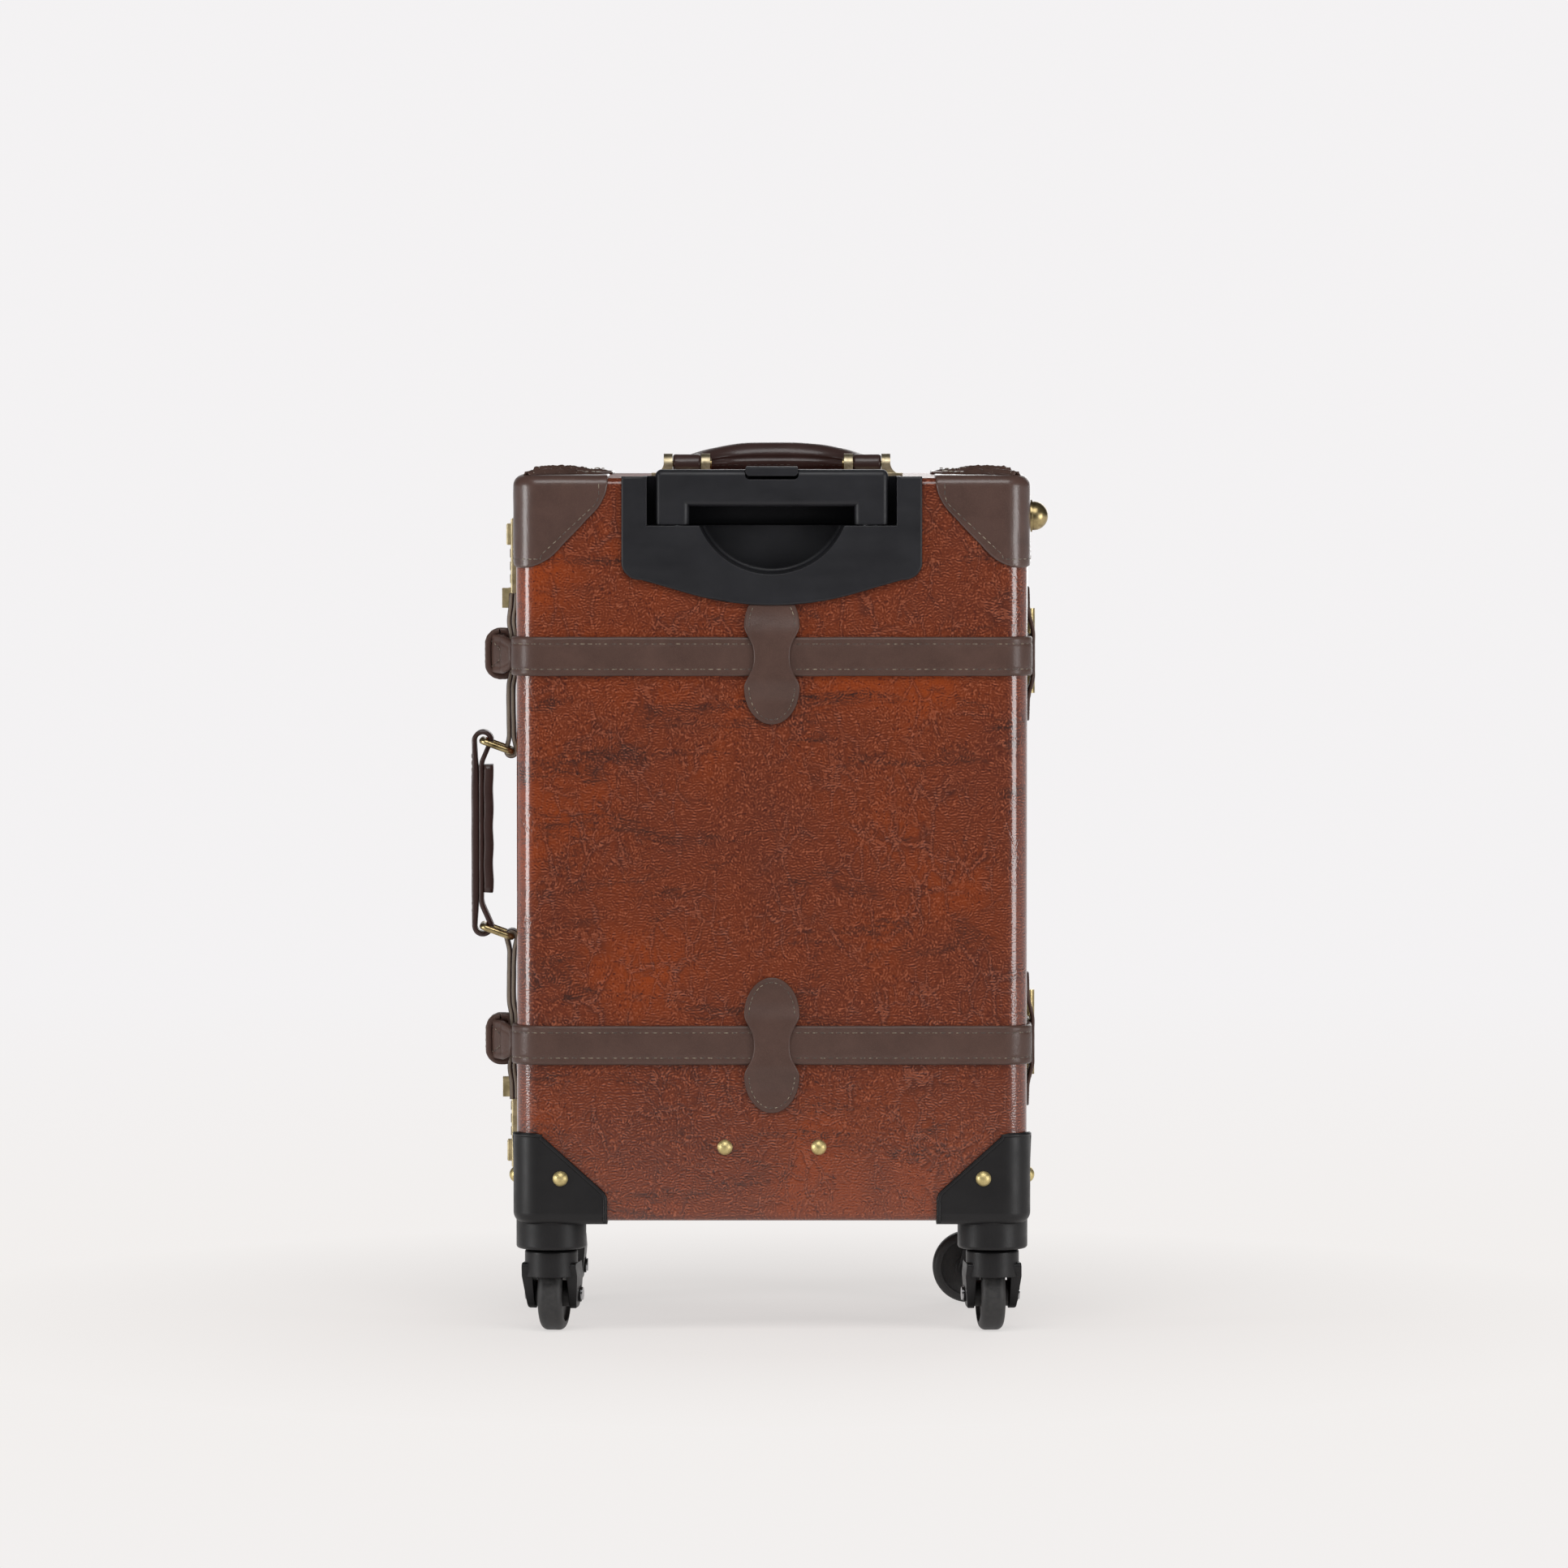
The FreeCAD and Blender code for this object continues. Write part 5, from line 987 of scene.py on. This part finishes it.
# Distances from the case and from the ring's bar: the lower ply towards the ring, the upper ply back.
TAB_LOWER_PLY = (
    (1.5, 96), (2.6, 90), (3.2, 84), (1.6, 77), (1.45, 64), (1.6, 51), (3.3, 44), (3.4, 36), (3.3, 26),
    (3.1, 16), (2.9, 9),
)
TAB_UPPER_PLY = (
    (5.8, 9), (5.95, 16), (6.15, 26), (6.25, 36), (6.15, 44), (4.45, 51), (4.3, 64), (4.45, 77),
    (6.05, 84), (5.45, 90), (4.35, 96),
)
GRIP_THICKNESS = 2.9
GRIP_PADDING = 1.7
GRIP_STEPS = 36


def band_rings(path, sides, width, thickness, edge=0.7):
    """Rings of a soft-edged band in the XZ plane; sides point outwards from the path's line."""
    half = width / 2
    inner = half - edge
    mid = half * 0.4
    section = [(-half, 0.32), (-inner, 0.5), (-mid, 0.54), (mid, 0.54), (inner, 0.5), (half, 0.32)]
    section += [(half, -0.32), (inner, -0.5), (mid, -0.5), (-mid, -0.5), (-inner, -0.5), (-half, -0.32)]
    rings = []
    for k, (point, side) in enumerate(zip(path, sides)):
        thick = thickness(k) if callable(thickness) else thickness
        ring = []
        for v, n in section:
            uneven = wobble(Vector((point.x, v, point.y)), 0.15, 8)
            spot = point + side * (n * thick + uneven)
            ring.append(Vector((spot.x, STRAP_Y + v, spot.y)))
        rings.append(ring)
    return rings


def upright_rows(rows, x, inset, first, last):
    """Straight stitch rows along both edges of a strap on the left side."""
    for edge in (-1, 1):
        y = STRAP_Y + edge * (STRAP_WIDTH / 2 - inset)
        points = [Vector((x, y, z)) for z in spaced(first, last, 20)]
        rows.run(points, [Vector((-1, 0, 0))] * len(points), pitch=4.6, length=3.3)


def build_loops():
    """Leather loops that hold the belt tongues."""
    low, high = (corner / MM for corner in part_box("belt_loops"))
    loops, rows = Pile(), Pile()
    half = LOOP_HEIGHT / 2 - LOOP_THICKNESS / 2
    near = high.x - LOOP_THICKNESS / 2
    far = low.x + LOOP_THICKNESS / 2
    middle = (near + far) / 2
    for z in BELTS:
        path = rounded([
            (middle, z + half, 0), (far, z + half, 8.2), (far, z - half, 8.2),
            (near, z - half, 4.0), (near, z + half, 4.0), (middle, z + half, 0),
        ], 1.2)[:-1]
        sides = sides_of(path, True)
        loops.loft(band_rings(path, sides, LOOP_WIDTH, LOOP_THICKNESS), closed=True)
        for edge in (-1, 1):
            y = STRAP_Y + edge * (LOOP_WIDTH / 2 - LOOP_STITCH_INSET)
            points = []
            outs = []
            for point, side in zip(path, sides):
                if point.x < near - 2.5:
                    out = side if side.dot(point - Vector((middle, z))) > 0 else -side
                    spot = point + out * (LOOP_THICKNESS / 2 - 0.08)
                    points.append(Vector((spot.x, y, spot.y)))
                    outs.append(Vector((out.x, 0, out.y)))
            rows.run(points, outs, pitch=4.2, length=3.0)
    loops.piece("belt_loop_leather", STRAP, "back_half", "leather_dark", ("belt_loops",))
    rows.piece("belt_loop_stitches", THREAD, "back_half", "leather_dark")


def build_tabs():
    """Straps that hold the side handle's rings, folded round the rings and sewn down."""
    low, high = (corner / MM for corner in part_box("side_handle_tabs"))
    tabs, rows = Pile(), Pile()
    wall = -SIDE - SEAT
    upper_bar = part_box("upper_handle_ring")[0].z / MM + RING_WIRE
    lower_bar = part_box("lower_handle_ring")[0].z / MM + RING_WIRE
    wrap = RING_WIRE + TAB_THICKNESS / 2 + 0.12
    for bar, far, way in ((upper_bar, high.z - 1.2, 1), (lower_bar, low.z + 1.2, -1)):
        centre = Vector((wall - FOLD_RADIUS, bar))
        path = [Vector((wall - 1.45, far))]
        path += [Vector((wall - n, bar + way * t)) for n, t in TAB_LOWER_PLY]
        for degrees in spaced(65, 305, 12):
            angle = math.radians(degrees)
            path.append(centre + Vector((math.sin(angle) * wrap, way * math.cos(angle) * wrap)))
        path += [Vector((wall - n, bar + way * t)) for n, t in TAB_UPPER_PLY]
        path.append(Vector((wall - 4.3, far)))
        dense = []
        for first, last in zip(path, path[1:]):
            dense.extend(line(first, last, 2.0))
        dense.append(path[-1])
        for _ in range(3):
            inner = [(a + b * 2 + c) / 4 for a, b, c in zip(dense, dense[1:], dense[2:])]
            dense = [dense[0]] + inner + [dense[-1]]
        tabs.loft(band_rings(dense, sides_of(dense), STRAP_WIDTH, TAB_THICKNESS, 0.6))
        x = wall - 2 * TAB_THICKNESS - 0.05
        upright_rows(rows, x, TAB_STITCH_INSET, bar + way * 54, bar + way * 75)
    straps = tabs.piece("side_handle_straps", HANDLE, "back_half", "leather_dark", ("side_handle_tabs",))
    straps.data.materials.append(RAW_EDGE)
    for face in straps.data.polygons:
        face.material_index = 1 if abs(face.normal.y) > 0.8 else 0
    rows.piece("side_handle_strap_stitches", THREAD, "back_half", "leather_dark")


def build_side_handle():
    """Side handle: a strap looped round both rings and closed against itself, with an inner wrap."""
    low, high = (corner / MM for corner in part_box("side_handle"))
    half = (high.x - low.x) / 2
    x = (low.x + high.x) / 2
    top = high.z - half
    bottom = low.z + half
    bend = half - GRIP_THICKNESS / 2

    def turned(z, first):
        """Half turn round a ring."""
        angles = spaced(first, first + math.pi, 16)
        return [Vector((x + math.cos(angle) * bend, z + math.sin(angle) * bend)) for angle in angles]

    path = turned(top, 0)
    turned_count = len(path)
    shares = spaced(0, 1, GRIP_STEPS)[1:-1]
    for share in shares:
        pinch = min(1.0, math.sin(math.pi * share) * 2.2)
        path.append(Vector((x - bend + 0.5 * pinch, top + (bottom - top) * share)))
    path += turned(bottom, math.pi)
    for share in shares:
        pinch = min(1.0, math.sin(math.pi * share) * 2.6)
        path.append(Vector((x + bend - (bend + 1.1) * pinch, bottom + (top - bottom) * share)))

    def thickness(k):
        """The outer strand is padded between the rings."""
        share = (k - turned_count) / GRIP_STEPS
        if 0 < share < 1:
            return GRIP_THICKNESS + GRIP_PADDING * min(1.0, math.sin(math.pi * share) * 1.6)
        return GRIP_THICKNESS

    strap = Pile()
    strap.loft(band_rings(path, sides_of(path, True), STRAP_WIDTH, thickness, 1.0), closed=True)
    wrap = []
    for k, z in enumerate(spaced(bottom + 22, top - 16, 24)):
        wrap.append(Vector((x + 3.4 + 0.25 * math.sin(k * 0.9), z)))
    strap.loft(band_rings(wrap, sides_of(wrap), STRAP_WIDTH - 0.6, 6.2, 1.1))
    strap.piece("side_handle_loop", HANDLE, "side_grip", "leather_dark", ("side_handle",))
    rows = Pile()
    upright_rows(rows, x - half - 0.15, 3, bottom + 8, top - 8)
    rows.piece("side_handle_stitches", THREAD, "side_grip", "leather_dark")


# Padded carry handle on top

HANDLE_SHIFT = 3.3
PIN_HALF_SPAN = 59.25
PIN_Y = -18.0
PIN_Z = TOP + SEAT + 8.0
ARCH_REACH = 52.0
ARCH_POWER = 2 / 2.7
ROLL_WIDTH = 18.3
ROLL_RADIUS = 6.25
PAD_LIFT = 3.4
PAD_HALF_WIDTHS = (7.2, 10.5)
PAD_HALF_HEIGHTS = (4.3, 10.2)
PAD_POWERS = (0.9, 0.85)
SEAM_TILT = math.radians(24)


def arch_point(turn):
    """Middle line of the carry handle's arch."""
    s = math.sin(turn)
    x = PIN_HALF_SPAN * signed_power(math.cos(turn), ARCH_POWER)
    y = ARCH_REACH * max(0.0, s) ** ARCH_POWER
    return Vector((x + HANDLE_SHIFT, PIN_Y + y, PIN_Z + PAD_LIFT * s * s))


def arch_across(turn):
    """Level direction square to the arch."""
    run = arch_point(turn + 0.004) - arch_point(turn - 0.004)
    return Vector((run.y, -run.x, 0)).normalized()


def pad_size(turn):
    """Half width and half height of the pad, fuller towards the middle of the arch."""
    share = math.sin(turn) ** 2
    return [ends + (middle - ends) * share for ends, middle in (PAD_HALF_WIDTHS, PAD_HALF_HEIGHTS)]


def pad_rings():
    """Rings of the padded arch, drawn in along its seam."""
    lead = math.radians(6)
    rings = []
    for k, turn in enumerate(spaced(lead, math.pi - lead, 84)):
        middle = arch_point(turn)
        across = arch_across(turn)
        width, height = pad_size(turn)
        ring = []
        for c, s in circle(72):
            swell = 1.0 + 0.035 * noise.noise(Vector((k * 0.11, c * 0.8, s * 0.8)))
            seam = furrow(math.asin(max(-1, min(1, s))), 0, 0.08)
            spot = across * (width * signed_power(c, PAD_POWERS[0]) * swell * (1 - 0.15 * seam))
            ring.append(middle + (spot + UP * (height * signed_power(s, PAD_POWERS[1]) * swell)))
        rings.append(ring)
    return rings


def roll_rings(x, side):
    """Rings of the leather roll round a pin."""
    half = ROLL_WIDTH / 2
    inner = half * 0.3
    rings = []
    for v, scale in (
        (-half, 0.80), (-half + 0.5, 0.95), (-half + 1.6, 1.0), (-inner, 0.985),
        (inner, 0.985), (half - 1.6, 1.0), (half - 0.5, 0.95), (half, 0.80),
    ):
        ring = []
        for i, (c, s) in enumerate(circle(32)):
            radius = ROLL_RADIUS * scale + 0.12 * noise.noise(Vector((i * 0.5, v * 0.3, side)))
            ring.append(Vector((x + v, PIN_Y + radius * c, PIN_Z + radius * s)))
        rings.append(ring)
    return rings


def neck_rings(x):
    """Rings of the flat neck between a roll and the arch."""
    rings = []
    for k, y in enumerate(spaced(PIN_Y + 2, PIN_Y + 15, 8)):
        wide = 8.4 - 0.9 * k / 8
        tall = 3.6 + 0.3 * math.sin(k * 0.8)
        rings.append([
            Vector((x + wide * signed_power(c, 0.45), y, PIN_Z + tall * signed_power(s, 0.6)))
            for c, s in circle(20)
        ])
    return rings


def build_carry_handle():
    """Padded leather arch with a sewn seam all round, and a leather roll round each pin."""
    pad = Pile()
    pad.loft(pad_rings())
    for side in (-1, 1):
        x = HANDLE_SHIFT + side * PIN_HALF_SPAN
        pad.loft(roll_rings(x, side))
        pad.loft(neck_rings(x))
    pad = pad.piece("carry_handle_pad", HANDLE, "carry_handle", "leather_dark", ("top_handle",))
    rows = Pile()
    level, drop = math.cos(SEAM_TILT), math.sin(SEAM_TILT)
    for inner in (-1, 1):
        points = []
        outs = []
        for turn in spaced(math.radians(14), math.radians(166), 60):
            across = arch_across(turn) * inner
            width, height = pad_size(turn)
            spot = arch_point(turn) + across * width * level ** PAD_POWERS[0]
            points.append(spot - UP * height * drop ** PAD_POWERS[1])
            outs.append((across * level - UP * drop).normalized())
        rows.run(points, outs, pitch=4.4, length=3.2)
    rows.piece("carry_handle_stitches", DARK_THREAD, "carry_handle", "leather_dark")


# Linings

CLOTH_GAP = 0.9
CLOTH_THICKNESS = 0.7
CLOTH_WELD = 0.05
STEP_DROP = 66.5
STEP_SLOPE = 2.5
STEP_DEPTH = 7.9


def build_lining(half, sign):
    """Soft cloth lining of one half: an open tray, slightly puffed, stepped over the trolley."""
    low, high = (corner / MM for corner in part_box(half + "_lining"))
    x1 = high.x - CLOTH_GAP
    z0 = low.z + CLOTH_GAP
    z1 = high.z - CLOTH_GAP
    mouth = sign * min(abs(low.y), abs(high.y))
    rear = sign * max(abs(low.y), abs(high.y)) - sign * CLOTH_GAP
    bend = CORNER_RADIUS - (SIDE - x1) if sign > 0 else 0.0
    cloth = Pile()

    def rear_at(z):
        """Rear panel, which comes forward over the trolley housing."""
        if sign > 0:
            return rear
        share = min(1.0, max(0.0, (z - (TOP - STEP_DROP)) / STEP_SLOPE))
        return rear + STEP_DEPTH * share

    def skin(spot, count_u, count_v, inward):
        """Grid over one panel with a slight swell."""
        start = len(cloth.verts)
        for i in range(count_u + 1):
            for j in range(count_v + 1):
                u, v = i / count_u, j / count_v
                point = spot(u, v)
                fade = min(1.0, 6 * min(u, 1 - u, v, 1 - v))
                puff = 0.35 + 0.55 * noise.noise(point / 34) + 0.25 * noise.noise(point / 11)
                cloth.verts.append(point + inward * max(0.0, puff) * fade)
        for i in range(count_u):
            for j in range(count_v):
                a = start + i * (count_v + 1) + j
                cloth.faces.append((a, a + 1, a + count_v + 2, a + count_v + 1))

    def on_rear(u, v):
        """Point of the rear panel."""
        z = z0 + rise * v
        return Vector(((x1 - bend) * (2 * u - 1), rear_at(z), z))

    def on_wall(u, v):
        """Point of a side wall."""
        z = z0 + rise * v
        rim = rear_at(z) - sign * bend
        return Vector((side * x1, rim + (mouth - rim) * u, z))

    def on_corner(u, v):
        """Point of the rounded corner between the rear panel and a side wall."""
        angle = math.pi / 2 * u
        x = x1 - bend + bend * math.cos(angle)
        return Vector((side * x, rear - sign * bend * (1 - math.sin(angle)), z0 + rise * v))

    def on_end(u, v):
        """Point of the floor or the ceiling, closer together towards the rear."""
        y = rear_at(z) + (mouth - rear_at(z)) * u ** 1.6
        short = max(0.0, bend - abs(rear_at(z) - y))
        half_width = x1 - bend + math.sqrt(bend * bend - short * short)
        return Vector((half_width * (2 * v - 1), y, z))

    rise = z1 - z0
    skin(on_rear, 60, 120, Vector((0, -sign, 0)))
    for side in (-1, 1):
        skin(on_wall, 24, 120, Vector((-side, 0, 0)))
        if bend:
            skin(on_corner, 10, 120, Vector((0, 0, 0)))
    for z, way in ((z0, 1), (z1, -1)):
        skin(on_end, 40, 60, Vector((0, 0, way)))
    body = half + "_half"
    made = cloth.piece(half + "_lining_cloth", CLOTH, body, "lining_fabric", (half + "_lining",))
    face_outwards(made.data, CLOTH_WELD)
    solid = made.modifiers.new("thickness", "SOLIDIFY")
    solid.thickness = CLOTH_THICKNESS * MM
    solid.offset = 0


build_back_belts()
build_front_belts()
for half_name, half_sign in (("back", -1), ("front", 1)):
    build_keepers(half_name, half_sign)
    build_caps(half_name, half_sign)
    build_guard_rims(half_name, half_sign)
    build_lining(half_name, half_sign)
build_loops()
build_tabs()
build_side_handle()
build_carry_handle()


# Stage, light and camera

BACKDROP = (0.902, 0.888, 0.895)


def blend_shaders(tree, factor, first, second):
    """Mix of two shader nodes."""
    links = {0: factor, 1: first.outputs[0], 2: second.outputs[0]}
    return add(tree, "ShaderNodeMixShader", links)


def build_floor():
    """Pale floor that fades into the backdrop's colour away from the object."""
    mesh = bpy.data.meshes.new("floor")
    side, near, back = 30.0, -1.3, 60.0
    corners = [(-side, near, 0), (side, near, 0), (side, back, 0), (-side, back, 0)]
    mesh.from_pydata(corners, [], [(0, 1, 2, 3)])
    material = bpy.data.materials.new("floor_paper")
    material.use_nodes = True
    tree = material.node_tree
    tree.nodes.clear()
    paper = add(tree, "ShaderNodeBsdfDiffuse", {"Color": (0.85, 0.810, 0.785, 1)})
    coords = add(tree, "ShaderNodeTexCoord")
    length = add(tree, "ShaderNodeVectorMath", {0: coords.outputs["Object"]}, operation="LENGTH")
    fade = grey(tree, length.outputs["Value"], 0.68, 1.0, 0.22, 0.60)
    far = grey(tree, length.outputs["Value"], 0.0, 1.0, 0.6, 3.0)
    tone = blend_colour(tree, far, (0.890, 0.866, 0.852), BACKDROP)
    glow = add(tree, "ShaderNodeEmission", {"Color": tone, "Strength": 1.0})
    path = add(tree, "ShaderNodeLightPath")
    seen = maths(tree, "MAXIMUM", path.outputs["Is Camera Ray"], path.outputs["Is Glossy Ray"])
    mix = blend_shaders(tree, maths(tree, "MULTIPLY", fade, seen), paper, glow)
    add(tree, "ShaderNodeOutputMaterial", {"Surface": mix.outputs[0]})
    mesh.materials.append(material)
    put("floor", mesh)


def build_world():
    """Even studio surround, dim on the viewer's side; the camera sees the backdrop's colour."""
    world = bpy.data.worlds.new("studio")
    world.use_nodes = True
    bpy.context.scene.world = world
    tree = world.node_tree
    tree.nodes.clear()
    coords = add(tree, "ShaderNodeTexCoord")
    heading = add(tree, "ShaderNodeSeparateXYZ", {0: coords.outputs["Generated"]}).outputs["Y"]
    around = grey(tree, heading, 0.05, 0.7, 0.70, 0.99)
    light = add(tree, "ShaderNodeBackground", {"Color": (1.0, 0.985, 0.975, 1), "Strength": 0.32})
    mirrored = add(tree, "ShaderNodeBackground", {"Color": (*BACKDROP, 1), "Strength": around})
    seen = add(tree, "ShaderNodeBackground", {"Color": (*BACKDROP, 1), "Strength": 1.0})
    path = add(tree, "ShaderNodeLightPath")
    shiny = blend_shaders(tree, path.outputs["Is Glossy Ray"], light, mirrored)
    straight = maths(tree, "MAXIMUM", path.outputs["Is Camera Ray"], path.outputs["Is Transmission Ray"])
    mix = blend_shaders(tree, straight, shiny, seen)
    add(tree, "ShaderNodeOutputWorld", {"Surface": mix.outputs[0]})


def softbox(name, place_at, target, size, watts):
    """Rectangular area light aimed at a point."""
    data = bpy.data.lights.new(name, "AREA")
    data.shape = "RECTANGLE"
    data.size, data.size_y = size
    data.energy = watts
    lamp = put(name, data)
    lamp.location = place_at
    lamp.rotation_euler = (Vector(target) - Vector(place_at)).to_track_quat("-Z", "Y").to_euler()


def build_camera():
    """Long-lens camera at the photograph's place: level with the case's top, tilted slightly down."""
    data = bpy.data.cameras.new("camera")
    data.sensor_width = 36.0
    data.lens = 198.5
    data.clip_end = 200.0
    camera = put("camera", data)
    camera.location = (0.0079, -5.713, 0.64115)
    camera.rotation_euler = (math.radians(90 - 2.88), 0, 0)
    bpy.context.scene.camera = camera


build_floor()
build_world()
softbox("key_left", (-2.11, -0.92, 0.38), (0, 0, 0.33), (0.66, 0.75), 18.5)
softbox("key_right", (1.89, -1.30, 0.38), (0, 0, 0.33), (0.76, 0.75), 17)
softbox("fill_back", (0.7, 2.4, 0.95), (0, 0, 0.33), (1.6, 1.2), 15)
softbox("overhead", (0.0, -1.9, 2.4), (0, 0, 0.2), (2.2, 1.3), 44)
build_camera()
bpy.context.scene.view_settings.view_transform = "Standard"
